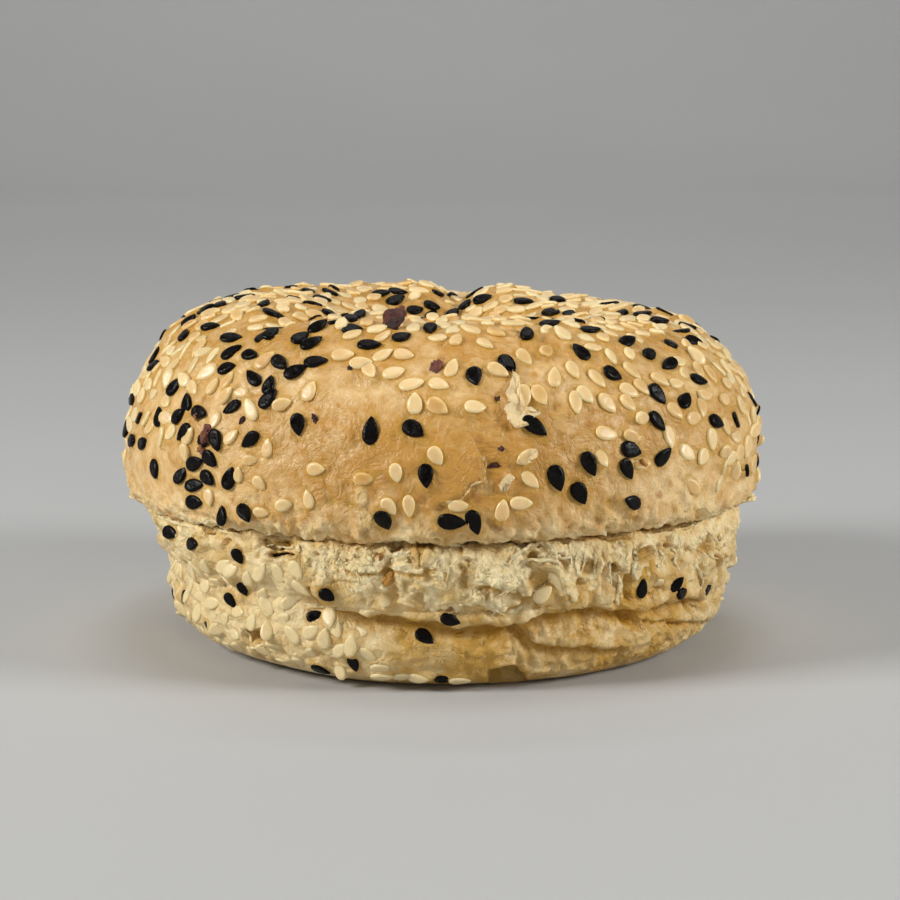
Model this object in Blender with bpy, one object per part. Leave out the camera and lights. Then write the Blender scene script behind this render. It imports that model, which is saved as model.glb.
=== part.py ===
"""A seeded bagel, as one baked solid with its sesame seeds fused on.

The bagel stands on its flat underside. Metres, +Z up, with the origin on the resting plane under the
middle of the bagel, and the front at -Y. Turns round the bagel are measured from +X towards +Y. A value
given by side is a tuple of (front, right, back, left) and runs smoothly from one side to the next.
"""

import math
import random

import bmesh
import bpy
from mathutils import Matrix, Vector, noise
from mathutils.bvhtree import BVHTree

MM = 0.001

# The baked ring, in section.
HEIGHT = 49.4 * MM
CROWN_RADIUS = 46.4 * MM
BODY_RADIUS = 41.4 * MM
WIDEST_HEIGHT = 27.5 * MM
CREST_RADIUS = 25.0 * MM
CROWN_FULLNESS = 2.1
HOLE_RADIUS = 5.4 * MM
HOLE_WAIST_HEIGHT = 21.0 * MM
HOLE_FULLNESS = 2.3
UNDERSIDE_INNER_RADIUS = 14.0 * MM
HEEL_RADIUS = 7.5 * MM
TURN_STEPS = 76

# The torn waist, where the crown has lifted off the body and the crumb has pulled apart.
SEAM_HEIGHT = 20.9 * MM
SEAM_GAPE = 1.3 * MM
SEAM_DEPTH = 4.6 * MM
SEAM_WAVE = 0.8 * MM
CRUMB_BULGE = 2.0 * MM
CRUMB_FOOT_HEIGHT = 12.2 * MM
CRAG_SIZE = 3.4 * MM
CRAG_DEPTH = 0.8 * MM

# How each side of the bagel departs from an even ring, as (front, right, back, left).
CROWN_REACH = (-1.6 * MM, 0.4 * MM, -0.4 * MM, 1.9 * MM)
SHOULDER_SWELL = (0.0 * MM, 0.9 * MM, 0.2 * MM, -0.2 * MM)
CREST_RISE = (-0.5 * MM, -2.0 * MM, 0.0 * MM, 0.5 * MM)
BODY_REACH = (0.4 * MM, 0.8 * MM, 0.0 * MM, 0.6 * MM)
CRUMB_OVERHANG = (0.0 * MM, 0.6 * MM, 0.6 * MM, 3.0 * MM)
CRUMB_SAG = (0.0 * MM, 1.2 * MM, 0.4 * MM, 0.0 * MM)
SEAM_FILL = (0.0 * MM, 2.2 * MM, 1.6 * MM, 2.6 * MM)
LUMP_SIZE = 19.0 * MM
LUMP_DEPTH = 0.7 * MM

# The crease across the crown, where the ends of the rope of dough were joined.
CREASE_TURNS = (math.radians(222), math.radians(85))
CREASE_DEPTH = 2.6 * MM
CREASE_WIDTH = 3.6 * MM
CREASE_REACH = 27.0 * MM
CREASE_FADE = 9.0 * MM

# Folds in the skin of the body: start and end turn, start and end height.
FOLDS = (
    (math.radians(268), math.radians(287), 6.4 * MM, 6.0 * MM),
    (math.radians(282), math.radians(306), 8.6 * MM, 10.4 * MM),
    (math.radians(293), math.radians(312), 3.6 * MM, 4.6 * MM),
    (math.radians(225), math.radians(243), 8.0 * MM, 5.6 * MM),
    (math.radians(30), math.radians(62), 6.0 * MM, 9.0 * MM),
    (math.radians(118), math.radians(150), 9.4 * MM, 6.4 * MM),
)
FOLD_DEPTH = 1.1 * MM
FOLD_WIDTH = 1.5 * MM
FOLD_FADE = math.radians(5)

# The nick in the edge of the underside.
NICK_TURN = math.radians(283)
NICK_WIDTH = math.radians(4)
NICK_HEIGHT = 2.6 * MM
NICK_DEPTH = 2.0 * MM

# Flakes that stand on the surface: turn, radius and height, then length, width, thickness and lean.
FLAKES = (
    ("crease flake", math.radians(244), 14.0 * MM, 47.0 * MM, 4.4 * MM, 3.0 * MM, 2.0 * MM, 50),
    ("crown peel", math.radians(284), 43.0 * MM, 36.5 * MM, 7.0 * MM, 3.4 * MM, 1.3 * MM, 80),
    ("left rim flap", math.radians(184), 47.0 * MM, 20.4 * MM, 4.6 * MM, 3.2 * MM, 1.8 * MM, 10),
    ("right rim flap", math.radians(354), 46.0 * MM, 20.6 * MM, 4.6 * MM, 3.0 * MM, 1.8 * MM, 10),
    ("front shred", math.radians(291), 44.0 * MM, 17.5 * MM, 6.4 * MM, 2.8 * MM, 1.8 * MM, 60),
    ("front crumb", math.radians(262), 43.6 * MM, 17.0 * MM, 5.4 * MM, 3.4 * MM, 2.0 * MM, 0),
)

# Sesame seeds.
SEED_LENGTH = 3.5 * MM
SEED_WIDTH = 2.3 * MM
SEED_THICKNESS = 1.3 * MM
SEED_LIFT = 0.22 * MM
SEED_TAPER = 0.34
SEED_SPACING = 4.3 * MM
SEED_COUNT = 104
SEED_DRAW = 11
SEED_TRIES = 30000


def smooth(low, high, value):
    """0 up to low, 1 from high on, and a smooth ramp between them."""
    part = min(1.0, max(0.0, (value - low) / (high - low)))
    return part * part * (3.0 - 2.0 * part)


def by_side(turn, sides):
    """The value at a turn of something given at the (front, right, back, left)."""
    front, right, back, left = sides
    across, along = math.cos(turn), math.sin(turn)
    return (
        front * min(0.0, along) ** 2
        + right * max(0.0, across) ** 2
        + back * max(0.0, along) ** 2
        + left * min(0.0, across) ** 2
    )


def corner(centre, half, start, end, steps, fullness=2.0):
    """Points (radius, height) on a superellipse, from a start to an end angle in degrees."""
    points = []
    for step in range(steps + 1):
        angle = math.radians(start + (end - start) * step / steps)
        across, up = math.cos(angle), math.sin(angle)
        points.append((
            centre[0] + half[0] * math.copysign(abs(across) ** (2.0 / fullness), across),
            centre[1] + half[1] * math.copysign(abs(up) ** (2.0 / fullness), up),
        ))
    return points


def section():
    """The ring's section, from the crest down the outside, under the base and up through the hole."""
    crown = corner(
        (CREST_RADIUS, WIDEST_HEIGHT),
        (CROWN_RADIUS - CREST_RADIUS, HEIGHT - WIDEST_HEIGHT),
        90, 0, 9, CROWN_FULLNESS,
    )
    lip = [
        (CROWN_RADIUS - 0.2 * MM, WIDEST_HEIGHT - 3.0 * MM),
        (CROWN_RADIUS - 0.8 * MM, SEAM_HEIGHT + 1.5 * MM),
        (CROWN_RADIUS - 2.0 * MM, SEAM_HEIGHT + SEAM_GAPE / 2),
        (CROWN_RADIUS - SEAM_DEPTH, SEAM_HEIGHT + SEAM_GAPE / 4),
    ]
    crumb_top = SEAM_HEIGHT - SEAM_GAPE / 2
    crumb_rows = 6
    crumb = []
    for row in range(crumb_rows):
        down = row / (crumb_rows - 1)
        crumb.append((
            BODY_RADIUS + CRUMB_BULGE * math.sin(math.pi * (0.22 + 0.78 * down)) ** 0.8,
            crumb_top + (CRUMB_FOOT_HEIGHT - crumb_top) * down,
        ))
    heel = corner((BODY_RADIUS - HEEL_RADIUS, HEEL_RADIUS), (HEEL_RADIUS, HEEL_RADIUS), 0, -90, 4)
    wall = [(BODY_RADIUS, (CRUMB_FOOT_HEIGHT + HEEL_RADIUS) / 2)]
    hole = corner(
        (UNDERSIDE_INNER_RADIUS, HOLE_WAIST_HEIGHT),
        (UNDERSIDE_INNER_RADIUS - HOLE_RADIUS, HOLE_WAIST_HEIGHT),
        -90, -180, 4, HOLE_FULLNESS,
    )
    funnel = corner(
        (CREST_RADIUS, HOLE_WAIST_HEIGHT),
        (CREST_RADIUS - HOLE_RADIUS, HEIGHT - HOLE_WAIST_HEIGHT),
        180, 90, 7, HOLE_FULLNESS,
    )
    return crown + lip + crumb + wall + heel + hole + funnel[1:-1]


def crease_depth(turn, radius):
    """How far the joint in the rope of dough dips at a place on the crown."""
    depth = 0.0
    for direction in CREASE_TURNS:
        if math.cos(turn - direction) > 0:
            across = radius * math.sin(turn - direction)
            depth = max(depth, math.exp(-((across / CREASE_WIDTH) ** 2)))
    return CREASE_DEPTH * depth * (1.0 - smooth(CREASE_REACH, CREASE_REACH + CREASE_FADE, radius))


def fold_depth(turn, height):
    """How far the folds draw the body's skin in at a place on its side."""
    deepest = 0.0
    for start, end, start_height, end_height in FOLDS:
        part = (turn - start) / (end - start)
        middle = start_height + (end_height - start_height) * min(1.0, max(0.0, part))
        fade = smooth(start - FOLD_FADE, start, turn) * (1.0 - smooth(end, end + FOLD_FADE, turn))
        deepest = max(deepest, fade * math.exp(-(((height - middle) / FOLD_WIDTH) ** 2)))
    return FOLD_DEPTH * deepest


def nick_depth(turn, height):
    """How deep the nick in the edge of the underside is at a place."""
    low = 1.0 - smooth(0.0, NICK_HEIGHT, height)
    return NICK_DEPTH * low * math.exp(-(((turn - NICK_TURN) / NICK_WIDTH) ** 2))


def dough_point(turn, radius, height):
    """Where a point of the even ring lies on the baked one."""
    even = Vector((radius * math.cos(turn), radius * math.sin(turn), height))
    outer = smooth(HOLE_RADIUS, CREST_RADIUS, radius)
    crown = smooth(SEAM_HEIGHT - SEAM_GAPE / 4, SEAM_HEIGHT + SEAM_GAPE / 4, height)
    crumb = smooth(CRUMB_FOOT_HEIGHT - 1.5 * MM, CRUMB_FOOT_HEIGHT + 1.0 * MM, height) * (1.0 - crown)
    lifted = smooth(0.0, 4.0 * MM, height)

    lump = LUMP_DEPTH * noise.noise(even / LUMP_SIZE)
    reach = crown * by_side(turn, CROWN_REACH) + (1.0 - crown) * by_side(turn, BODY_REACH)
    up_crown = min(1.0, max(0.0, (height - WIDEST_HEIGHT) / (HEIGHT - WIDEST_HEIGHT)))
    shoulder = math.sin(math.pi * up_crown) * by_side(turn, SHOULDER_SWELL)
    overhang = smooth(CRUMB_FOOT_HEIGHT, SEAM_HEIGHT, height) * (1.0 - crown)
    sag = math.exp(-(((height - CRUMB_FOOT_HEIGHT) / (3.0 * MM)) ** 2))
    crag = CRAG_DEPTH * noise.noise(even / CRAG_SIZE + Vector((5.0, 3.0, 1.0)))

    groove = crown * smooth(2.0 * MM, SEAM_DEPTH, CROWN_RADIUS - radius) * (1.0 - up_crown)
    groove *= 1.0 - smooth(SEAM_HEIGHT + SEAM_GAPE / 2, SEAM_HEIGHT + SEAM_GAPE, height)
    nick = nick_depth(turn, height) * smooth(BODY_RADIUS - HEEL_RADIUS, BODY_RADIUS, radius)

    out = (
        reach
        + lump * lifted
        + shoulder
        + overhang * by_side(turn, CRUMB_OVERHANG)
        + sag * by_side(turn, CRUMB_SAG)
        + crumb * crag
        + groove * by_side(turn, SEAM_FILL)
        - fold_depth(turn, height)
        - nick
    )
    near_seam = math.exp(-(((height - SEAM_HEIGHT) / (2.5 * MM)) ** 2))
    wave = SEAM_WAVE * noise.noise(Vector((2.0 * math.cos(turn), 2.0 * math.sin(turn), 4.0)))
    up = (
        up_crown * (by_side(turn, CREST_RISE) + lump)
        + up_crown * shoulder * (1.0 - up_crown)
        + near_seam * wave
        + nick
        - smooth(0.45, 0.75, up_crown) * crease_depth(turn, radius)
    )
    far = radius + out * outer
    return Vector((far * math.cos(turn), far * math.sin(turn), max(0.0, height + up * outer)))


def make_dough():
    """The baked ring, a torus whose section is pulled to the bagel's."""
    profile = section()[::-1]
    bpy.ops.mesh.primitive_torus_add(
        major_segments=TURN_STEPS,
        minor_segments=len(profile),
        major_radius=CREST_RADIUS,
        minor_radius=CREST_RADIUS / 2,
    )
    dough = bpy.context.object
    dough.name = "bagel"
    dough.data.name = "bagel"
    for vertex in dough.data.vertices:
        step, row = divmod(vertex.index, len(profile))
        radius, height = profile[row]
        vertex.co = dough_point(math.tau * step / TURN_STEPS, radius, height)
    return dough


def settle(dough):
    """Puts the middle of the bagel's outline over the origin."""
    xs = [vertex.co.x for vertex in dough.data.vertices]
    ys = [vertex.co.y for vertex in dough.data.vertices]
    middle = Vector(((min(xs) + max(xs)) / 2, (min(ys) + max(ys)) / 2, 0.0))
    dough.data.transform(Matrix.Translation(-middle))


def frame_on(point, normal, heading):
    """A matrix that stands at a point, with Z along the normal and X at a heading across it."""
    up = normal.normalized()
    side = up.orthogonal().normalized()
    side = Matrix.Rotation(heading, 3, up) @ side
    ahead = up.cross(side)
    turned = Matrix((side, ahead, up)).transposed()
    return Matrix.Translation(point) @ turned.to_4x4()


def add_drop(name, topping, place, length, width, thickness, taper):
    """A flat drop shape, pointed at one end, laid on the surface at a place."""
    mesh = bpy.data.meshes.new(name)
    shape = bmesh.new()
    bmesh.ops.create_uvsphere(shape, u_segments=6, v_segments=4, radius=0.5)
    for vertex in shape.verts:
        along, across, up = vertex.co.z, vertex.co.x, vertex.co.y
        narrow = 1.0 - taper * 2.0 * along
        vertex.co = (along * length, across * width * narrow, up * thickness)
    bmesh.ops.transform(shape, matrix=place, verts=shape.verts)
    shape.to_mesh(mesh)
    shape.free()
    topping.objects.link(bpy.data.objects.new(name, mesh))


def seed_density(point):
    """How thickly seeds lie at a point: 1 on the top of the crown, 0 on torn crumb and underside."""
    turn = math.atan2(point.y, point.x)
    if math.hypot(point.x, point.y) < 11.0 * MM or point.z < 2.5 * MM:
        return 0.0
    if CRUMB_FOOT_HEIGHT - 1.0 * MM < point.z < SEAM_HEIGHT + 3.0 * MM:
        return 0.0
    front = max(0.0, -math.sin(turn)) ** 3
    if point.z < CRUMB_FOOT_HEIGHT:
        return 0.5
    return 1.0 - 0.72 * front * (1.0 - smooth(34.0 * MM, 42.0 * MM, point.z))


def add_seeds(dough, topping, taken):
    """Scatters the seeds over the skin, each clear of the next."""
    draw = random.Random(SEED_DRAW)
    mesh = dough.data
    mesh.calc_loop_triangles()
    faces = list(mesh.loop_triangles)
    areas = [face.area for face in faces]
    placed = 0
    for _ in range(SEED_TRIES):
        face = draw.choices(faces, areas)[0]
        first, second, third = (mesh.vertices[i].co for i in face.vertices)
        u, v = sorted((draw.random(), draw.random()))
        point = first * u + second * (v - u) + third * (1.0 - v)
        heading = draw.uniform(0.0, math.tau)
        size = draw.uniform(0.92, 1.06)
        if draw.random() > seed_density(point):
            continue
        if any((point - other).length < SEED_SPACING for other in taken):
            continue
        taken.append(point)
        place = frame_on(point + face.normal * SEED_LIFT, face.normal, heading)
        add_drop(
            "seed", topping, place,
            SEED_LENGTH * size, SEED_WIDTH * size, SEED_THICKNESS, SEED_TAPER,
        )
        placed += 1
        if placed == SEED_COUNT:
            break


def add_flakes(dough, topping):
    """Stands the larger flakes on the skin, and returns where they are."""
    surface = BVHTree.FromObject(dough, bpy.context.evaluated_depsgraph_get())
    taken = []
    for name, turn, radius, height, length, width, thickness, lean in FLAKES:
        near = Vector((radius * math.cos(turn), radius * math.sin(turn), height))
        point, normal, _, _ = surface.find_nearest(near)
        place = frame_on(point + normal * SEED_LIFT, normal, math.radians(lean))
        add_drop(name, topping, place, length, width, thickness, SEED_TAPER)
        taken.append(point)
    return taken


def fuse(dough, topping):
    """Joins the toppings to the dough as one body, and clears them away."""
    union = dough.modifiers.new("fuse toppings", "BOOLEAN")
    union.operation = "UNION"
    union.solver = "EXACT"
    union.operand_type = "COLLECTION"
    union.collection = topping
    bpy.context.view_layer.objects.active = dough
    bpy.ops.object.modifier_apply(modifier=union.name)
    for piece in list(topping.objects):
        bpy.data.objects.remove(piece)
    bpy.data.collections.remove(topping)


def make_crust():
    """Pale golden baked crust."""
    crust = bpy.data.materials.new("golden crust")
    crust.use_nodes = True
    shader = crust.node_tree.nodes["Principled BSDF"]
    shader.inputs["Base Color"].default_value = (0.62, 0.40, 0.16, 1.0)
    shader.inputs["Roughness"].default_value = 0.55
    shader.inputs["Metallic"].default_value = 0.0
    return crust


def main():
    for old in list(bpy.data.objects):
        bpy.data.objects.remove(old)
    bagel = bpy.data.collections.new("baked bagel")
    topping = bpy.data.collections.new("toppings")
    bpy.context.scene.collection.children.link(bagel)
    bpy.context.scene.collection.children.link(topping)

    dough = make_dough()
    for home in list(dough.users_collection):
        home.objects.unlink(dough)
    bagel.objects.link(dough)
    settle(dough)
    taken = add_flakes(dough, topping)
    add_seeds(dough, topping, taken)
    fuse(dough, topping)
    dough.data.materials.clear()
    dough.data.materials.append(make_crust())
    dough.data.shade_smooth()
    dough.data.set_sharp_from_angle(angle=math.radians(40))


main()
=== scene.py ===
import math
from itertools import product

import bmesh
import bpy
import numpy as np
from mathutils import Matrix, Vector, noise
from mathutils.bvhtree import BVHTree


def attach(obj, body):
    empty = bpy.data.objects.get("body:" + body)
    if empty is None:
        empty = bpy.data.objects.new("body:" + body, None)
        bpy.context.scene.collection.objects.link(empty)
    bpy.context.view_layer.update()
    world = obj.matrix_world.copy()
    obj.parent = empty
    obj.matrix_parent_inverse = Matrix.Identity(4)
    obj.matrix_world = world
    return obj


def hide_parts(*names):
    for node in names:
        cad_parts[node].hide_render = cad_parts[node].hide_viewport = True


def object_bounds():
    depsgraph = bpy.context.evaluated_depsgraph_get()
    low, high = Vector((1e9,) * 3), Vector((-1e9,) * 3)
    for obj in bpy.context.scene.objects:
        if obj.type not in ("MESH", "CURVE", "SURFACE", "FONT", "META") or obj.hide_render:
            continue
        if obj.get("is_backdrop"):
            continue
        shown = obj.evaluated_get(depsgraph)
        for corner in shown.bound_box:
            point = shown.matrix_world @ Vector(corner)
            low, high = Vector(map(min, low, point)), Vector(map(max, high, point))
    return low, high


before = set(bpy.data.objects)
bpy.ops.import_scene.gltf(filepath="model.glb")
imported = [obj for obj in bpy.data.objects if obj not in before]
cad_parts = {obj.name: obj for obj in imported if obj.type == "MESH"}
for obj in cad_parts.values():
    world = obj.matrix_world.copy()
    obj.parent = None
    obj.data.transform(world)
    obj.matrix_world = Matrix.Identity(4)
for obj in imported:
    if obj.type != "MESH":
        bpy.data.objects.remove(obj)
cad_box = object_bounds()

# The looks of a seeded bagel: crown and body of baked dough, torn crumb round the waist, black and white
# sesame, and the loose bits. Metres, +Z up, front at -Y; a bare size inside a table is in millimetres, and
# so is one given by side, which is a tuple of (front, right, back, left). Turns run from +X towards +Y.
# Places marked PX are (x, y) in a picture of 900 by 900 taken by the camera below, and each is carried back
# along its line of sight onto the bagel.

MM = 0.001
PICTURE = 900

# The camera.
CAMERA_PLACE = (1.4 * MM, -350.0 * MM, 86.0 * MM)
CAMERA_TILT = math.radians(9.6)
CAMERA_REACH_PX = 2341.0
SENSOR = 36.0
PX_PER_METRE = 7600.0

# The baked ring, in section: the crown, the hole, and the underside with its heel.
HEIGHT = 49.4 * MM
CROWN_RADIUS = 46.4 * MM
BODY_RADIUS = 41.4 * MM
WIDEST_HEIGHT = 27.5 * MM
CREST_RADIUS = 25.0 * MM
CROWN_FULLNESS = 2.1
HOLE_RADIUS = 5.4 * MM
HOLE_WAIST_HEIGHT = 21.0 * MM
HOLE_FULLNESS = 2.3
UNDERSIDE_INNER_RADIUS = 14.0 * MM
HEEL_RADIUS = 7.5 * MM
# The seam under the crown's lip, and the torn crumb that bulges below it.
SEAM_HEIGHT = 20.9 * MM
SEAM_GAPE = 1.3 * MM
SEAM_WAVE = 0.8 * MM
LIP_ROUND = 3.3 * MM
CRUMB_BULGE = 2.0 * MM
CRUMB_FOOT_HEIGHT = 12.2 * MM
CRAG_SIZE = 3.4 * MM
CRAG_DEPTH = 0.8 * MM
# How far hidden walls reach into each other, and how far one skin is tucked in where another covers it.
OVERLAP = 1.2 * MM
HIDDEN_WALL_RADIUS = BODY_RADIUS - 3.4 * MM
BAND_FOOT_HEIGHT = 10.4 * MM
TUCK = 1.3 * MM
# The heel is lifted a little on one side, and the waist is drawn in on the left.
HEEL_LIFT = 0.5 * MM
HEEL_TURN = math.radians(213)
HEEL_FADE = math.cos(math.radians(42))
LEFT_WAIST = 1.9 * MM
LEFT_WAIST_HEIGHT = 13.7 * MM
# Out from these radii a point is on the outer wall, and on the torn crumb's face. The front ends this far
# behind the middle.
RIM_INSIDE = 36.0 * MM
CRUMB_FACE = (39.5 * MM, 41.0 * MM)
FRONT_HALF = 8.0 * MM

# How far each side stands out from the even ring, or is drawn in.
BAND_TRIM = (0.1, 1.0, 0.2, 0.6)
CROWN_REACH = (-1.6, 0.4, -0.4, 1.9)
SHOULDER_SWELL = (0.0, 0.9, 0.2, -0.2)
CREST_RISE = (-0.5, -2.0, 0.0, 0.5)
BODY_REACH = (0.4, 0.5, 0.0, 0.1)
CRUMB_OVERHANG = (0.0, 0.6, 0.6, 3.0)
CRUMB_SAG = (0.0, 1.2, 0.4, 0.0)
SEAM_CLOSE = (0.1, 0.9, 0.6, 1.3)
LIP_RAGGED = (0.0, 7.0, 2.0, 0.0)

# Where the body's skin is slack and doughy, and where it is golden: the turns in degrees over which each
# comes in and goes out again.
DOUGHY_TURNS = ((-92, -78), (-5, 30))
GOLDEN_TURNS = ((-118, -95), (-45, -10))

# Broad lumps in the dough, and the crease where the rope of dough was joined.
LUMP_SIZE = 19.0 * MM
LUMP_DEPTH = 0.7 * MM
CREASE_TURNS = (math.radians(222), math.radians(85))
CREASE_DEPTH = 2.6 * MM
CREASE_WIDTH = 3.6 * MM
CREASE_REACH = 27.0 * MM
CREASE_FADE = 9.0 * MM

# Where torn crumb shows on the body: (turn in degrees, its lowest height there).
TORN_FEET = (
    (0, 13.5), (25, 15.0), (60, 13.0), (95, 15.5), (130, 13.5), (160, 12.0), (180, 12.3), (205, 16.5),
    (226, 19.0), (240, 19.6), (247, 16.0), (256, 13.6), (272, 12.4), (288, 13.4), (301, 15.2),
    (318, 16.0), (338, 14.5),
)

# Folds in the body's front, PX, from left to right. The dough above each one bulges and hangs over it, and
# below it the skin is drawn in and darkened with painted shade: (line, depth, reach below, bulge above).
FOLDS = (
    (((310, 590), (323, 604), (347, 613), (366, 619), (385, 617), (414, 623), (436, 624), (458, 631),
      (487, 628), (511, 629), (523, 624), (542, 617), (569, 612), (586, 610), (608, 611), (623, 612),
      (646, 612), (661, 607), (676, 601), (700, 600)), 1.9, 1.5, 0.9),
    (((514, 628), (526, 638), (537, 646), (555, 649), (586, 648), (610, 652), (624, 651)),
     1.5, 1.0, 0.6),
    (((640, 623), (669, 623), (699, 624), (724, 618)), 0.9, 0.7, 0.4),
    (((346, 571), (357, 575), (378, 573), (398, 572), (420, 576), (436, 569)), 0.4, 0.3, 0.1),
    (((480, 590), (491, 587), (508, 592), (525, 596), (535, 592)), 0.7, 0.8, 0.4),
)
# Hollows torn in the body, darkened inside with painted shade, PX: (middle, half width and half height in
# PX, depth).
HOLLOWS = (
    ((278, 541), (17, 7), 1.6), ((281, 554), (13, 3), 1.6), ((256, 637), (13, 9), 1.8),
    ((543, 582), (18, 14), 1.3), ((644, 557), (8, 9), 1.2), ((627, 588), (5, 15), 1.0),
    ((616, 568), (4, 5), 0.9), ((507, 678), (19, 13), 4.2), ((353, 541), (6, 5), 1.0),
    ((395, 548), (8, 6), 1.0), ((317, 598), (5, 6), 0.8), ((532, 556), (6, 5), 1.0),
    ((632, 618), (9, 8), 1.3), ((641, 628), (6, 5), 0.9), ((694, 606), (6, 8), 0.8),
    ((588, 566), (9, 8), 0.8), ((650, 553), (6, 7), 0.9), ((669, 544), (3, 3), 0.5),
    ((707, 544), (5, 10), 0.8), ((681, 626), (9, 3), 0.6), ((717, 562), (4, 5), 0.5),
    ((613, 568), (3, 4), 0.6),
)
# Folds in the body away from the front, darkened with painted shade: (first turn and last turn in
# degrees, height at each).
BACK_FOLDS = ((30, 62, 6.0, 9.0), (118, 150, 9.4, 6.4), (70, 104, 4.0, 6.4))
FOLD_DEPTH = 1.1 * MM
FOLD_WIDTH = 0.8 * MM
FOLD_FADE = math.radians(5)

# The edge where a sheet of crust on the crown has cracked and the dough beside it lies lower, PX, and how
# much lower it lies.
CRUST_EDGE = (
    (438, 507), (446, 503), (460, 500), (468, 491), (471, 485), (483, 481), (485, 472), (486, 462),
    (479, 452),
)
CRUST_STEP = 0.9 * MM
# Small pits in the crown, PX: (middle, half width and half height in PX, depth).
PITS = (
    ((494, 466), (7, 3.5), 0.7), ((497, 399), (4, 3), 0.4), ((506, 426), (3, 2), 0.3),
    ((640, 463), (5, 4), 0.3), ((378, 430), (3, 4), 0.25), ((394, 438), (3, 6), 0.3),
    ((352, 505), (5, 4), 0.3), ((462, 475), (4, 2), 0.25), ((330, 502), (6, 5), 0.3),
    ((609, 503), (4, 6), 0.35), ((515, 494), (6, 2), 0.4), ((631, 518), (6, 2), 0.4),
)

# Black sesame seen on the front, PX, with the way each points, in degrees above the horizontal.
BLACK_SEEDS = (
    (211, 328, 15), (232, 339, 3), (265, 338, 10), (272, 336, 35), (232, 353, 30), (251, 356, -10),
    (281, 364, -40), (316, 363, 10), (296, 372, 28), (228, 369, 20), (254, 379, 130), (270, 386, 70),
    (270, 400, 50), (176, 387, 50), (233, 408, 215), (188, 404, 80), (181, 417, 40), (160, 417, 88),
    (141, 418, 40), (185, 433, 230), (134, 441, -25), (144, 443, 60), (207, 439, 30), (218, 441, -80),
    (251, 440, 218), (298, 425, -85), (312, 344, 25), (301, 339, 35), (318, 328, 20), (334, 324, 40),
    (312, 306, 5), (322, 301, 3), (328, 314, 20), (273, 315, -15), (265, 306, 0), (245, 299, 0),
    (221, 306, 5), (206, 311, 15), (190, 322, 40), (185, 336, 60), (156, 356, 60), (155, 366, 40),
    (134, 400, -45), (309, 293, -30), (330, 294, -20), (201, 413, -20), (128, 428, 85),
    (370, 346, 5), (402, 338, 25), (430, 330, -95), (431, 317, 50), (453, 315, 30), (466, 306, 45),
    (483, 300, 20), (431, 308, -10), (415, 311, 10), (396, 301, 20), (381, 295, -5), (398, 293, 0),
    (438, 295, -5), (452, 298, 10), (351, 320, 120), (360, 317, -75), (352, 331, 0), (527, 335, 100),
    (524, 303, 0), (550, 314, -10), (550, 325, 10), (558, 301, -20), (508, 365, -50), (475, 377, -75),
    (371, 431, 85), (414, 430, -35), (535, 427, -35), (556, 316, -25), (569, 316, -25), (591, 331, 5),
    (580, 353, 135), (610, 306, -5), (623, 315, -18), (643, 316, -8), (660, 322, 0), (687, 328, -20),
    (627, 342, 20), (649, 355, 40), (671, 346, -40), (693, 342, -20), (668, 366, 205), (612, 375, -20),
    (698, 381, -20), (657, 395, -50), (684, 401, 60), (656, 422, -55), (715, 422, -45), (734, 419, 80),
    (630, 450, -20), (626, 469, -65), (662, 456, 50), (589, 464, -65), (556, 478, -75), (579, 493, -65),
    (631, 502, 165), (211, 459, -50), (196, 463, 20), (182, 475, 60), (209, 478, -40), (196, 485, 5),
    (230, 478, 75), (156, 469, -70), (196, 502, -10), (223, 516, 80), (245, 514, -60), (426, 476, -85),
    (384, 519, -60), (452, 522, -5), (474, 522, -75), (745, 470, 60),
    (172, 533, -20), (194, 544, -2), (238, 556, -65), (243, 588, -62), (231, 600, -55), (185, 596, 88),
    (209, 624, 85), (315, 616, 20), (327, 595, -32), (321, 669, -25), (354, 663, -70), (282, 554, -5),
    (425, 637, -35), (450, 620, -20), (445, 678, 0), (642, 588, 80), (677, 584, 60), (680, 593, 40),
    (706, 590, 65),
)
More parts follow.
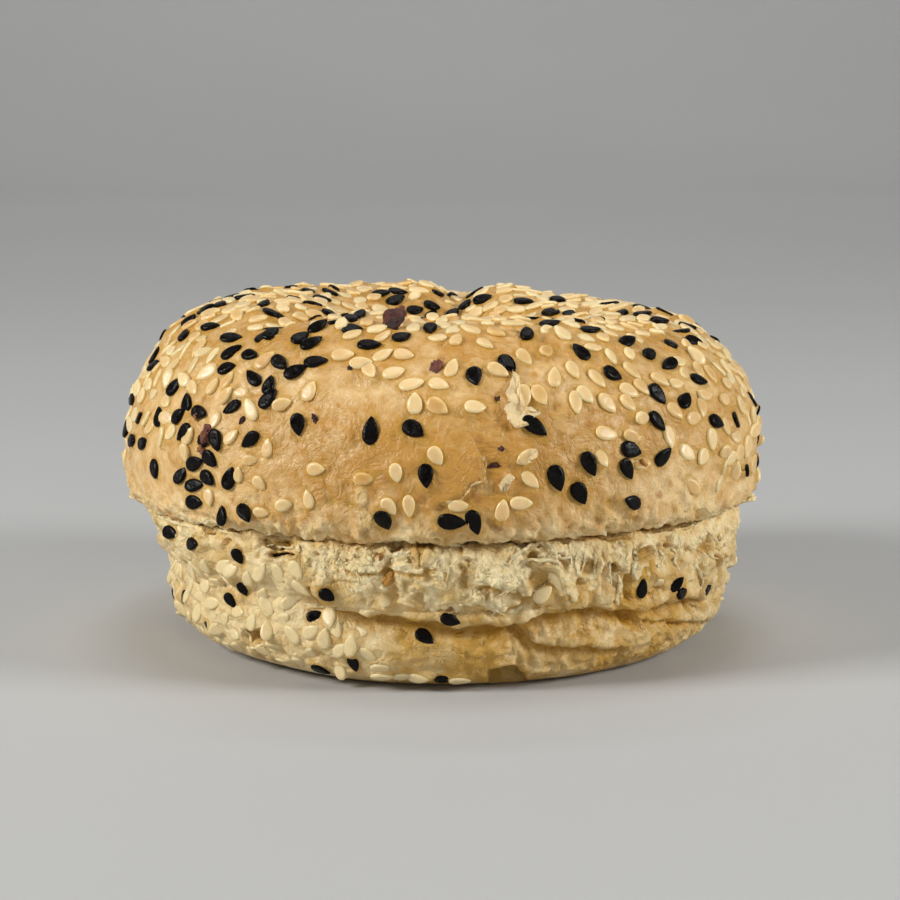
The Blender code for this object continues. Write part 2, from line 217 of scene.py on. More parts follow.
# White sesame seen on the front, in the same way, and how toasted each is, from 0 to 1.
WHITE_SEEDS = (
    (412, 385, 15, 0.2), (439, 385, -20, 0.2), (415, 404, 90, 0.1), (438, 407, -30, 0.8),
    (475, 408, 0, 0.1), (452, 369, 65, 0.3), (498, 372, -25, 0.3), (485, 345, -25, 0.3),
    (496, 334, -20, 0.9), (456, 341, 50, 0.5), (524, 358, -50, 0.5), (546, 352, 40, 0.8),
    (554, 378, 90, 0.3), (524, 396, -80, 0.3), (539, 396, -65, 0.6), (343, 356, 5, 0.4),
    (383, 356, 25, 0.2), (404, 356, 0, 0.4), (361, 364, 5, 0.2), (370, 372, -60, 0.3),
    (394, 374, 20, 0.2), (468, 320, -25, 0.3), (500, 321, -5, 0.5), (502, 311, 5, 0.4),
    (472, 310, 80, 0.0), (442, 322, 70, 0.0), (414, 320, 10, 0.5), (342, 328, 70, 0.0),
    (367, 324, 40, 0.7), (353, 337, 25, 0.4), (383, 338, 30, 0.4), (572, 371, -60, 0.2),
    (596, 380, -55, 0.3), (610, 358, -65, 0.1), (629, 355, -80, 0.1), (575, 403, -75, 0.3),
    (584, 396, -50, 0.1), (606, 404, -50, 0.3), (628, 392, -30, 0.3), (626, 405, -50, 0.4),
    (641, 418, 0, 0.3), (641, 388, -45, 0.5), (631, 372, -45, 0.5), (659, 381, -35, 0.4),
    (675, 385, 0, 0.2), (704, 396, 0, 0.4), (723, 400, 60, 0.4), (726, 384, 20, 0.4),
    (606, 434, -10, 0.4), (631, 436, -20, 0.7), (593, 349, 0, 0.2), (603, 339, -50, 0.5),
    (611, 324, -70, 0.3), (701, 347, 20, 0.3), (719, 358, -20, 0.5), (686, 347, -60, 0.4),
    (232, 437, 45, 0.3), (251, 460, 0, 0.5), (240, 474, 80, 0.4), (260, 483, -50, 0.3),
    (284, 505, 10, 0.1), (309, 499, 105, 0.2), (316, 469, 0, 0.4), (210, 497, -80, 0.4),
    (262, 512, -10, 0.3), (268, 448, 85, 0.5), (436, 456, -60, 0.3), (396, 473, -80, 0.2),
    (389, 506, -50, 0.3), (409, 506, -85, 0.3), (364, 479, 0, 0.9), (459, 506, -5, 0.2),
    (502, 510, 80, 0.5), (521, 503, 0, 0.1), (527, 456, 35, 0.4), (530, 480, -45, 0.3),
    (601, 459, -65, 0.3), (641, 464, 0, 0.9), (310, 392, 60, 0.4), (282, 405, 20, 0.4),
    (214, 387, 60, 0.3), (228, 396, 45, 0.5), (148, 419, 50, 0.2), (190, 436, 60, 0.3),
)
# White sesame baked into the skin of the body.
SUNK_SEEDS = (
    (260, 572, 60), (216, 581, 10), (263, 594, 80), (268, 605, -60), (290, 602, 25), (267, 630, 90),
    (312, 631, 30), (325, 638, 80), (336, 628, -70), (358, 633, 5), (311, 652, 80), (299, 661, -50),
    (276, 646, -45), (213, 603, 5), (226, 618, 60), (380, 668, 15), (301, 588, -40), (224, 566, 40),
    (248, 578, 85), (232, 570, 20), (284, 618, 35), (340, 650, 40), (368, 655, -35), (205, 566, 90),
    (192, 583, 80), (198, 612, 70), (382, 675, 8), (402, 676, 5), (418, 677, -5), (460, 679, 0),
    (658, 582, 85), (555, 582, -60), (543, 594, 40), (330, 618, -80),
    (296, 570, -60), (352, 645, 75), (240, 612, -20), (252, 622, 60),
)

# Where the torn crumb is loose and granular, PX: (middle, half width and half height in PX, amount).
RAGGED = (
    ((350, 562), (40, 20), 0.8), ((440, 560), (60, 22), 0.75), ((500, 585), (40, 22), 0.9),
    ((545, 562), (28, 18), 0.8), ((590, 560), (26, 12), 0.5), ((700, 548), (30, 16), 0.45),
    ((690, 600), (22, 18), 0.4),
)
# Where the torn crumb is drawn out into upright strands, PX, in the same way.
STRETCHED = (
    ((602, 566), (34, 20), 1.0), ((632, 565), (14, 26), 0.9), ((690, 560), (34, 24), 1.0),
)
# Where the strands leave little room for loose lumps, PX.
STRANDS_MIDDLE = (607, 565)
STRANDS_HALF = (34, 22)
# Where the torn crumb is browned, and where its hollows and the notch get painted shade, PX, in the same
# way.
STAINS = (
    ((421, 553), (9, 15), 0.9), ((388, 579), (8, 6), 1.0), ((354, 542), (7, 5), 0.9),
    ((381, 556), (4, 3), 0.8), ((395, 548), (8, 4), 0.6), ((432, 545), (4, 7), 0.8),
    ((461, 550), (3, 6), 0.7), ((532, 558), (5, 7), 0.7), ((541, 567), (14, 4), 0.6),
    ((528, 584), (6, 8), 0.45), ((446, 575), (4, 3), 0.6), ((421, 579), (6, 3), 0.45),
    ((480, 587), (16, 2.5), 0.45), ((589, 537), (9, 3), 0.9), ((345, 598), (10, 5), 0.4),
    ((644, 556), (8, 9), 0.9), ((627, 590), (5, 15), 0.85), ((700, 585), (5, 9), 0.5),
    ((665, 553), (4, 6), 0.5), ((330, 596), (8, 4), 0.6), ((632, 618), (8, 7), 0.8),
    ((690, 606), (16, 6), 0.5), ((613, 568), (4, 6), 0.8), ((650, 555), (8, 10), 0.7),
    ((707, 544), (6, 11), 0.7), ((637, 628), (6, 5), 0.8), ((680, 625), (12, 4), 0.7),
    ((604, 538), (30, 3), 0.5), ((717, 562), (5, 7), 0.6), ((371, 619), (12, 4), 0.9),
    ((410, 621), (20, 4), 1.0), ((465, 629), (14, 3), 0.6), ((515, 620), (4, 9), 0.5),
    ((537, 622), (12, 3), 0.8), ((404, 639), (9, 8), 0.7), ((330, 612), (10, 5), 0.5),
    ((507, 674), (20, 9), 1.0), ((590, 650), (40, 3), 0.5), ((256, 637), (13, 9), 0.5),
)
# Where the crown is darkened round its seeds and pits, partly browned and partly with painted shade, and
# where it is floury, PX, in the same way.
CROWN_STAINS = (
    ((257, 446), (9, 7), 0.8), ((211, 438), (7, 13), 0.55), ((393, 436), (5, 8), 0.5),
    ((366, 475), (16, 11), 0.4), ((352, 506), (8, 7), 0.5), ((436, 366), (6, 6), 0.5),
    ((330, 502), (5, 4), 0.45), ((466, 503), (13, 5), 0.4), ((492, 472), (9, 7), 0.6),
    ((497, 400), (5, 4), 0.5), ((344, 425), (4, 3), 0.5), ((520, 424), (22, 8), 0.3),
    ((641, 468), (7, 6), 0.6), ((530, 400), (12, 20), 0.35), ((610, 505), (5, 8), 0.45),
    ((566, 497), (6, 4), 0.25), ((304, 484), (4, 4), 0.45), ((328, 505), (4, 3), 0.4),
    ((420, 360), (30, 8), 0.25), ((470, 440), (26, 22), 0.2),
)
FLOURY_SPOTS = (
    ((361, 497), (7, 10), 0.6), ((365, 520), (8, 10), 0.5), ((300, 530), (40, 5), 0.25),
    ((500, 534), (60, 4), 0.2), ((560, 420), (6, 14), 0.25), ((640, 522), (40, 9), 0.2),
    ((700, 500), (20, 26), 0.35), ((486, 487), (8, 8), 0.35), ((250, 498), (12, 12), 0.25),
)
# Curled shreds of crumb at the seam, PX: (line, half width, lift, whiteness).
SHREDS = (
    (((514, 566), (512, 558), (519, 552), (529, 547), (542, 544), (553, 548), (555, 555), (563, 558),
      (570, 557), (572, 567)), 0.34, 0.8, 1.0),
    (((516, 568), (524, 561), (537, 561), (553, 560), (563, 567)), 0.28, 0.7, 1.0),
    (((546, 551), (552, 545), (553, 553), (549, 556)), 0.22, 0.9, 1.0),
    (((634, 545), (636, 557), (633, 570), (637, 582)), 0.40, 0.5, 1.0),
    (((618, 572), (620, 585), (616, 598), (619, 608)), 0.36, 0.4, 0.8),
    (((611, 556), (609, 572), (612, 588)), 0.22, 0.35, 0.9),
    (((577, 552), (575, 564), (578, 578)), 0.20, 0.4, 0.9),
    (((585, 550), (584, 562), (581, 574)), 0.20, 0.4, 0.8),
    (((594, 550), (596, 562), (593, 576)), 0.20, 0.4, 0.9),
    (((416, 541), (414, 552), (418, 562), (416, 571)), 0.60, 0.35, 0.25),
    (((428, 541), (427, 553), (423, 568)), 0.45, 0.3, 0.45),
    (((382, 546), (391, 550), (398, 556), (405, 552)), 0.35, 0.4, 1.0),
    (((447, 546), (458, 544), (466, 549), (463, 556)), 0.35, 0.4, 0.9),
    (((243, 629), (250, 634), (252, 645)), 0.20, 0.7, 0.9),
    (((247, 647), (257, 648), (267, 642)), 0.25, 0.4, 1.0),
    (((262, 536), (272, 533), (285, 536), (294, 542)), 0.22, 0.5, 0.9),
    (((266, 546), (276, 545), (287, 549), (297, 546)), 0.22, 0.5, 0.9),
    (((668, 545), (676, 552), (674, 562), (681, 572)), 0.25, 0.35, 0.9),
    (((690, 560), (698, 568), (703, 580), (700, 592)), 0.28, 0.35, 0.9),
    (((657, 548), (664, 556), (660, 568)), 0.25, 0.35, 0.9),
    (((150, 513), (162, 518), (176, 523), (192, 527)), 0.28, 0.3, 0.9),
    (((196, 516), (208, 524), (222, 531), (236, 533)), 0.32, 0.3, 0.9),
    (((524, 604), (515, 611), (505, 612)), 0.35, 0.3, 0.9),
)
# Sheets of crust that have lifted off, PX: (outline, lift at its first point, how baked it is).
PEELS = (
    (((505, 412), (508, 404), (506, 394), (510, 385), (513, 373), (518, 377), (519, 386), (520, 396),
      (523, 405), (527, 411), (534, 412), (541, 415), (532, 420), (525, 427), (516, 430), (508, 423)),
     0.85, 0.05),
    (((515, 463), (519, 455), (527, 450), (536, 449), (537, 456), (530, 461), (524, 466)), 0.45, 0.3),
    (((498, 484), (503, 477), (510, 474), (514, 478), (509, 484), (506, 491), (500, 492)), 0.4, 0.1),
)
# Ragged tags of crust at the rim: (turn in degrees, radius, height, length, width, thickness).
TAGS = (
    (184, 46.0, 20.6, 3.2, 2.2, 1.2), (352, 46.4, 20.8, 4.6, 3.0, 1.5),
    (38, 46.2, 20.2, 4.2, 3.0, 1.5), (121, 45.6, 20.4, 4.8, 3.0, 1.4),
)
# Dark husk and toasted bits on the crown, PX: (place, heading in degrees, (length, width, thickness), lean
# in radians, tone from dark to orange).
FLAKES = (
    ((394, 324), 62, (3.9, 2.3, 0.5), math.radians(25), 0.25),
    ((391, 329), 35, (3.3, 1.8, 0.45), math.radians(5), 0.0),
    ((399, 316), 80, (2.6, 1.5, 0.4), math.radians(35), 0.5),
    ((436, 367), 70, (1.9, 1.5, 1.2), 0.0, 0.5),
    ((497, 399), 20, (0.9, 0.6, 0.3), 0.0, 0.15),
    ((494, 467), 10, (1.7, 0.7, 0.7), 0.0, 0.2),
    ((315, 419), -60, (1.2, 0.7, 0.7), 0.0, 0.0),
    ((243, 420), 50, (1.3, 0.6, 0.6), 0.0, 0.0),
    ((501, 449), 0, (0.9, 0.6, 0.6), 0.0, 0.0),
    ((351, 368), 60, (0.9, 0.6, 0.6), 0.0, 0.0),
    ((210, 436), 70, (2.4, 1.7, 1.3), 0.5, 0.5),
    ((204, 450), -30, (1.7, 1.3, 1.0), 0.3, 0.65),
    ((199, 417), 0, (1.5, 1.1, 0.9), 0.0, 0.7),
    ((641, 464), 0, (1.7, 1.4, 1.0), 0.0, 0.9),
    ((389, 579), 60, (1.8, 1.3, 0.9), 0.0, 1.0),
    ((382, 556), 60, (0.9, 0.6, 0.5), 0.0, 0.8),
    ((588, 536), 10, (2.2, 0.6, 0.6), 0.0, 0.7),
)

# Colours.
CROWN_PALE = (0.86, 0.60, 0.28, 1.0)
CROWN_GOLDEN = (0.57, 0.28, 0.048, 1.0)
CROWN_TOASTED = (0.42, 0.17, 0.030, 1.0)
BODY_PALE = (0.88, 0.70, 0.38, 1.0)
BODY_GOLDEN = (0.60, 0.34, 0.06, 1.0)
BODY_TOASTED = (0.42, 0.22, 0.06, 1.0)
CRUMB_SHADE = (0.78, 0.52, 0.20, 1.0)
CRUMB_WHITE = (1.0, 0.83, 0.49, 1.0)
CRUMB_TAN = (0.90, 0.63, 0.23, 1.0)
# Painted shade in hollows, creases, pores and round seeds, and the real colour of browned stains.
SHADE_AND_BROWNING_TINT = (0.54, 0.29, 0.03, 1.0)
HUSK_DARK = (0.035, 0.010, 0.006, 1.0)
HUSK_PURPLE = (0.22, 0.065, 0.045, 1.0)
HUSK_ORANGE = (0.62, 0.30, 0.05, 1.0)
SEED_IVORY = (0.95, 0.70, 0.36, 1.0)
SEED_TOASTED = (0.62, 0.32, 0.07, 1.0)
SEED_RIM_IVORY = (1.0, 0.82, 0.46, 1.0)
SEED_RIM_TOASTED = (0.95, 0.66, 0.26, 1.0)
SEED_SKIN = (0.80, 0.61, 0.29, 1.0)
SEED_SKIN_PALE = (0.88, 0.72, 0.42, 1.0)
SEED_BLACK = (0.0022, 0.0016, 0.0012, 1.0)
SEED_GREY = (0.007, 0.0055, 0.0045, 1.0)

# The finishes' patterns, to the metre: speckle as (patches, specks, share of specks toasted), grain as
# (grains, pores, depth of pores), and the torn crumb's (large bubbles, small bubbles).
DOUGH_SPECKLE = (110.0, 400.0, 0.12)
HUSK_SPECKLE = (600.0, 1500.0, 0.4)
WHITE_SPECKLE = (500.0, 1500.0, 0.3)
BLACK_SPECKLE = (900.0, 2400.0, 0.3)
DOUGH_GRAIN = (1000.0, 700.0, 0.3)
CRUMB_CELLS = (850.0, 2100.0)
RAGGED_WALLS = 0.9 * MM
GLOW_COLOUR = (1.0, 0.78, 0.46)
DOUGH_SPECULAR = 0.45
BLACK_SPECULAR = 0.11

# How finely the dough is divided: the steps round the ring, and the rows of each stretch of a section.
TURN_STEPS = 640
BAND_TURN_STEPS = 800
CROWN_ROWS = (40, 96, 4, 14)
BODY_ROWS = (5, 94, 18, 26, 10)
BAND_ROWS = (14, 84, 10)

# Loose crumbs on the torn band: how many, and their least and largest sizes, in millimetres. The lumps'
# lengths are given by the middle and the spread of their logarithm, and the longest.
CRUMB_LUMPS = 560
CRUMB_SHREDS = 200
LUMP_LENGTHS = (-0.5, 0.4)
LONGEST_LUMP = 1.5
SHRED_LENGTHS = (1.2, 3.2)
SHRED_HALF_WIDTHS = (0.08, 0.16)
SHRED_LIFTS = (0.15, 0.5)
# The marks that each loose crumb carries: how torn, how much painted shade and browning it takes, how baked
# it is.
CRUMB_MARKS = ("torn", "hollow", "bake")

# Seeds besides those placed one by one: (kind, where, count, least distance apart).
SCATTER = (
    ("black", "crown", 150, 3.2), ("white", "crown", 560, 2.2),
    ("black", "body", 22, 4.5), ("white", "body", 130, 2.5),
)
# Where white seeds lie thick on the front besides those placed one by one, PX: (how thickly, the columns
# over which they come in, the rows over which they come in).
CROWN_COVER = ((1.0, (0, 1), (350, 310)), (0.75, (330, 230), (470, 390)), (0.45, (560, 720), (500, 420)))
BODY_COVER = ((0.8, (350, 310), (550, 575)),)
# The rows, PX, over which black seeds come to lie in the body's skin, and white ones come to sit deeper.
COVERED_ROWS = (540, 560)
DEEPER_ROWS = (425, 465)
# The seeds look smaller away from one column, and above these rows, PX.
LARGEST_COLUMN = 480
SMALLER_AWAY = (110, 210)
SMALLER_ROWS = (400, 330)
SMALLER_BY = 0.14

# A seed: its real size, its drop shape as (rings, sides, taper), how deep it sits as shares of its
# thickness, how far it tilts, how the dough round it rises, and how its ring browns and takes painted
# shadow.
SEED_LENGTH = 3.5 * MM
SEED_WIDTH = 2.25 * MM
SEED_THICKNESS = 0.85 * MM
BLACK_DROP = (9, 12, 0.84)
WHITE_DROP = (8, 12, 0.76)
BLACK_SIZE = 1.07
WHITE_SIZE = 0.95
LEAST_TOAST = 0.14
SEED_DISH = 0.45
SEAT_LOW = -0.38
SEAT_HIGH = 0.02
SEAT_SINK = 0.9
SEAT_REACH = 1.5 * MM
SEAT_AREA = 3.2 * MM
CROWDED = 2.3 * MM
CROWN_SINK = (0.1, 0.4)
BODY_SINK = (0.4, 0.46)
SUNK_SINK = 0.42
CROWN_TILT = 0.1
BODY_TILT = 0.03
COVERED_SINK = (0.3, 0.4)
HALO = 0.85
COLLAR = 0.06 * MM

# The stage: a round floor that sweeps up into a wall, and the lights, as (name, place, size, power, what
# it faces), in metres and watts.
STAGE_RADIUS = 1.2
STAGE_SWEEP = 0.8
STAGE_TALL = 2.4
STAGE_SWEEP_STEPS = 16
STAGE_SIDES = 96
FLOOR_GREYS = ((0.46, 0.46, 0.45, 1.0), (0.50, 0.50, 0.49, 1.0))
WORLD_LIGHT = 0.05
BAGEL_MIDDLE = (0.0, 0.0, 0.025)
LIGHTS = (
    ("left softbox", (-0.64, -0.28, 0.42), 0.24, 5.1, BAGEL_MIDDLE),
    ("right softbox", (0.68, -0.22, 0.36), 0.24, 3.8, BAGEL_MIDDLE),
    ("top softbox", (0.05, 0.02, 0.85), 0.3, 1.4, BAGEL_MIDDLE),
    ("front fill", (0.10, -0.95, 0.22), 0.5, 0.95, BAGEL_MIDDLE),
    ("backdrop light", (0.0, 0.9, 1.5), 0.8, 12.0, (0.0, 2.0, 0.5)),
)

# Large odd numbers that scramble a lattice place into bits.
SCRAMBLE_PLACE = (73856093, 19349663, 83492791)
SCRAMBLE_DRAW = 2971215073
SCRAMBLE_AGAIN = ((13, 1274126177), (16, 2246822519))
BITS = 0xFFFFFFFF
TEN_BITS = 0x3FF
# How far apart two draws of noise or of bubbles lie, and what brings the noise to between -1 and 1.
FIELD_STEP = 7.31
BUBBLE_STEP = 3.17
NOISE_GAIN = 1.5


# ---- Curves and fields ----

def smooth(low, high, value):
    """0 up to low, 1 from high on, and a smooth ramp between them."""
    part = np.clip((value - low) / (high - low), 0.0, 1.0)
    return part * part * (3.0 - 2.0 * part)


def bell(value, width):
    """1 at 0, falling away over the width."""
    return np.exp(-((value / width) ** 2))


def by_side(turn, sides):
    """The size at a turn of something given in millimetres at the (front, right, back, left)."""
    front, right, back, left = (side * MM for side in sides)
    across, along = np.cos(turn), np.sin(turn)
    return (
        front * np.minimum(0.0, along) ** 2
        + right * np.maximum(0.0, across) ** 2
        + back * np.maximum(0.0, along) ** 2
        + left * np.minimum(0.0, across) ** 2
    )


def scrambled(node, draw):
    """Three random numbers from 0 to 1023 for each node of a lattice; each draw gives others."""
    key = node[:, 0] * SCRAMBLE_PLACE[0] ^ node[:, 1] * SCRAMBLE_PLACE[1] ^ node[:, 2] * SCRAMBLE_PLACE[2]
    key = key ^ draw * SCRAMBLE_DRAW
    for shift, factor in SCRAMBLE_AGAIN:
        key = (key ^ (key >> shift)) * factor & BITS
    return np.stack([key >> shift & TEN_BITS for shift in (0, 10, 20)], 1)


def within(turn, turns):
    """1 between two turns, with a smooth ramp at each end."""
    (out_before, in_from), (in_to, out_after) = np.radians(turns)
    return smooth(out_before, in_from, turn) * smooth(out_after, in_to, turn)


def lattice_noise(points, size, draw):
    """Smooth noise, from about -1 to 1, with lumps of a size; each draw is another field."""
    cells = points / size + draw * FIELD_STEP
    base = np.floor(cells).astype(np.int64)
    part = cells - base
    ease = part ** 3 * (part * (part * 6.0 - 15.0) + 10.0)
    total = np.zeros(len(points))
    for step in product((0, 1), repeat=3):
        slope = scrambled(base + step, draw) / (TEN_BITS / 2) - 1.0
        weight = np.prod(np.where(np.array(step) == 1, ease, 1.0 - ease), axis=1)
        total += weight * np.sum(slope * (part - step), axis=1)
    return total * NOISE_GAIN


def bubbles(points, size, draw):
    """The distance to the nearest bubble's middle, in bubbles, for bubbles of a size."""
    cells = points / size + draw * BUBBLE_STEP
    base = np.floor(cells).astype(np.int64)
    nearest = np.full(len(points), 9.0)
    for step in product((-1, 0, 1), repeat=3):
        node = base + step
        spot = node + scrambled(node, draw) / TEN_BITS
        nearest = np.minimum(nearest, np.linalg.norm(cells - spot, axis=1))
    return nearest


def warp(points, reach, size, first_draw):
    """Offsets of up to a reach in all three directions, to bend a pattern; reach and size in millimetres."""
    fields = [lattice_noise(points, size * MM, first_draw + axis) for axis in range(3)]
    return reach * MM * np.stack(fields, 1)


def old_noise(points):
    """Blender's own noise at each point."""
    return np.array([noise.noise(Vector(point)) for point in points.reshape(-1, 3)]).reshape(
        points.shape[:-1]
    )


# ---- The camera's picture ----

def picture_of(points):
    """Where points of the bagel fall in the camera's picture."""
    away = points - np.array(CAMERA_PLACE)
    cos_tilt, sin_tilt = math.cos(CAMERA_TILT), math.sin(CAMERA_TILT)
    depth = away[:, 1] * cos_tilt - away[:, 2] * sin_tilt
    rise = away[:, 2] * cos_tilt + away[:, 1] * sin_tilt
    across = PICTURE / 2 + CAMERA_REACH_PX * away[:, 0] / depth
    down = PICTURE / 2 - CAMERA_REACH_PX * rise / depth
    return np.stack([across, down], 1)


def wandering_picture(points, reach, *fields):
    """Where points fall in the picture, moved about by a reach in pixels; a (size, draw) for each way."""
    wander = np.stack([lattice_noise(points, size * MM, draw) for size, draw in fields], 1)
    return picture_of(points) + reach * wander


def sight(pixel):
    """The direction of the camera's line of sight through a place in its picture."""
    across = (pixel[0] - PICTURE / 2) / CAMERA_REACH_PX
    rise = (PICTURE / 2 - pixel[1]) / CAMERA_REACH_PX
    cos_tilt, sin_tilt = math.cos(CAMERA_TILT), math.sin(CAMERA_TILT)
    return Vector((across, cos_tilt + rise * sin_tilt, rise * cos_tilt - sin_tilt)).normalized()


def line_distance(places, line):
    """How far places lie from a line of points, if they are above it, and if they are past its ends."""
    nearest = np.full(len(places), 1e9)
    above = np.zeros(len(places), bool)
    past = np.zeros(len(places), bool)
    for index, (start, end) in enumerate(zip(line[:-1], line[1:])):
        start, end = np.array(start, float), np.array(end, float)
        run = end - start
        part = (places - start) @ run / (run @ run)
        gap = places - (start + np.clip(part, 0.0, 1.0)[:, None] * run)
        far = np.linalg.norm(gap, axis=1)
        closer = far < nearest
        over = run[0] * gap[:, 1] - run[1] * gap[:, 0] < 0
        beyond = ((index == 0) & (part < 0)) | ((index == len(line) - 2) & (part > 1))
        above = np.where(closer, over, above)
        past = np.where(closer, beyond, past)
        nearest = np.minimum(nearest, far)
    return nearest, above, past


def run_along(line):
    """How far along a line each of its points lies."""
    return np.concatenate([[0.0], np.cumsum(np.linalg.norm(np.diff(line, axis=0), axis=1))])


def soft_edge(apart):
    """1 in the middle of a spot, fading all the way out."""
    return bell(apart, 1.0)


def clear_edge(apart):
    """1 inside a spot, and a quick fall at its edge."""
    return 1.0 - smooth(0.7, 1.2, apart)


def strongest(picture, places, fall):
    """The most that any place (middle, half size, amount) gives at each point of the picture."""
    most = np.zeros(len(picture))
    for middle, half, amount in places:
        most = np.maximum(most, amount * fall(np.linalg.norm((picture - middle) / half, axis=1)))
    return most


# ---- The dough ----

def corner(centre, half, start, end, steps, fullness=2.0):
    """Points (radius, height) on a superellipse, from a start to an end angle in degrees."""
    angle = np.radians(np.linspace(start, end, steps + 1))
    across, up = np.cos(angle), np.sin(angle)
    return np.stack([
        centre[0] + half[0] * np.sign(across) * np.abs(across) ** (2.0 / fullness),
        centre[1] + half[1] * np.sign(up) * np.abs(up) ** (2.0 / fullness),
    ], 1)


def spaced(path, count):
    """A count of points evenly spaced along a path, without its last one."""
    path = np.array(path)
    along = run_along(path)
    at = np.linspace(0.0, along[-1], count, endpoint=False)
    return np.stack([np.interp(at, along, path[:, 0]), np.interp(at, along, path[:, 1])], 1)


def section_of(stretches, counts):
    """A section made of stretches, each divided into a count of rows."""
    return np.concatenate([spaced(path, count) for path, count in zip(stretches, counts)])


def crown_section():
    """The crown's section, from the throat of the hole over the crest to the lip, and back inside."""
    throat = (HOLE_RADIUS, HOLE_WAIST_HEIGHT)
    funnel = corner(
        (CREST_RADIUS, HOLE_WAIST_HEIGHT),
        (CREST_RADIUS - HOLE_RADIUS, HEIGHT - HOLE_WAIST_HEIGHT),
        180, 90, 90, HOLE_FULLNESS,
    )
    dome = corner(
        (CREST_RADIUS, WIDEST_HEIGHT),
        (CROWN_RADIUS - CREST_RADIUS, HEIGHT - WIDEST_HEIGHT),
        90, 0, 160, CROWN_FULLNESS,
    )
    lip_centre = (CROWN_RADIUS - LIP_ROUND, SEAM_HEIGHT + LIP_ROUND + SEAM_GAPE / 3)
    lip = corner(lip_centre, (LIP_ROUND, LIP_ROUND), 0, -90, 24)
    roof = np.array([lip[-1], (BODY_RADIUS - 0.6 * MM, SEAM_HEIGHT + SEAM_GAPE / 2)])
    inside = np.array([
        roof[-1],
        (HIDDEN_WALL_RADIUS, SEAM_HEIGHT - OVERLAP),
        (UNDERSIDE_INNER_RADIUS, SEAM_HEIGHT - OVERLAP),
        (HOLE_RADIUS + OVERLAP, HOLE_WAIST_HEIGHT - OVERLAP),
        throat,
    ])
    outside = np.concatenate([dome, lip[1:]])
    return section_of((funnel, outside, roof, inside), CROWN_ROWS)


def crumb_face():
    """The torn crumb's face in section, from the seam down to its foot."""
    top = SEAM_HEIGHT - SEAM_GAPE / 2
    down = np.linspace(0.0, 1.0, 40)
    swell = np.maximum(0.0, np.sin(math.pi * (0.22 + 0.78 * down))) ** 0.8
    return np.stack([BODY_RADIUS + CRUMB_BULGE * swell, top + (CRUMB_FOOT_HEIGHT - top) * down], 1)


def body_section():
    """The body's section, from the seam down the torn crumb and the wall, under and up the hole."""
    crumb = crumb_face()
    ledge = np.array([(BODY_RADIUS - 1.2 * MM, SEAM_HEIGHT + SEAM_GAPE), crumb[0]])
    heel = corner((BODY_RADIUS - HEEL_RADIUS, HEEL_RADIUS), (HEEL_RADIUS, HEEL_RADIUS), 0, -90, 24)
    hole = corner(
        (UNDERSIDE_INNER_RADIUS, HOLE_WAIST_HEIGHT),
        (UNDERSIDE_INNER_RADIUS - HOLE_RADIUS, HOLE_WAIST_HEIGHT),
        -90, -180, 40, HOLE_FULLNESS,
    )
    base = np.array([heel[-1], hole[0]])
    inside = np.array([
        hole[-1],
        (HOLE_RADIUS + OVERLAP, HOLE_WAIST_HEIGHT + OVERLAP),
        (UNDERSIDE_INNER_RADIUS, SEAM_HEIGHT + 2 * OVERLAP),
        (HIDDEN_WALL_RADIUS, SEAM_HEIGHT + 2 * OVERLAP),
        ledge[0],
    ])
    outside = np.concatenate([crumb, heel])
    return section_of((ledge, outside, base, hole, inside), BODY_ROWS)


def band_section():
    """The torn crumb's section, from inside the crown down its face and back inside the body."""
    crumb = crumb_face()
    face = np.concatenate([crumb, [(BODY_RADIUS, BAND_FOOT_HEIGHT)]])
    ledge = np.array([(BODY_RADIUS - 3.0 * MM, SEAM_HEIGHT + 0.3 * SEAM_GAPE), crumb[0]])
    inside = np.array([face[-1], (BODY_RADIUS - 4.0 * MM, BAND_FOOT_HEIGHT), ledge[0]])
    return section_of((ledge, face, inside), BAND_ROWS)


def crease_depth(turn, radius):
    """How far the joint in the rope of dough dips at a place on the crown."""
    depth = 0.0
    for direction in CREASE_TURNS:
        across = radius * np.sin(turn - direction)
        depth = np.maximum(depth, (np.cos(turn - direction) > 0) * bell(across, CREASE_WIDTH))
    return CREASE_DEPTH * depth * (1.0 - smooth(CREASE_REACH, CREASE_REACH + CREASE_FADE, radius))


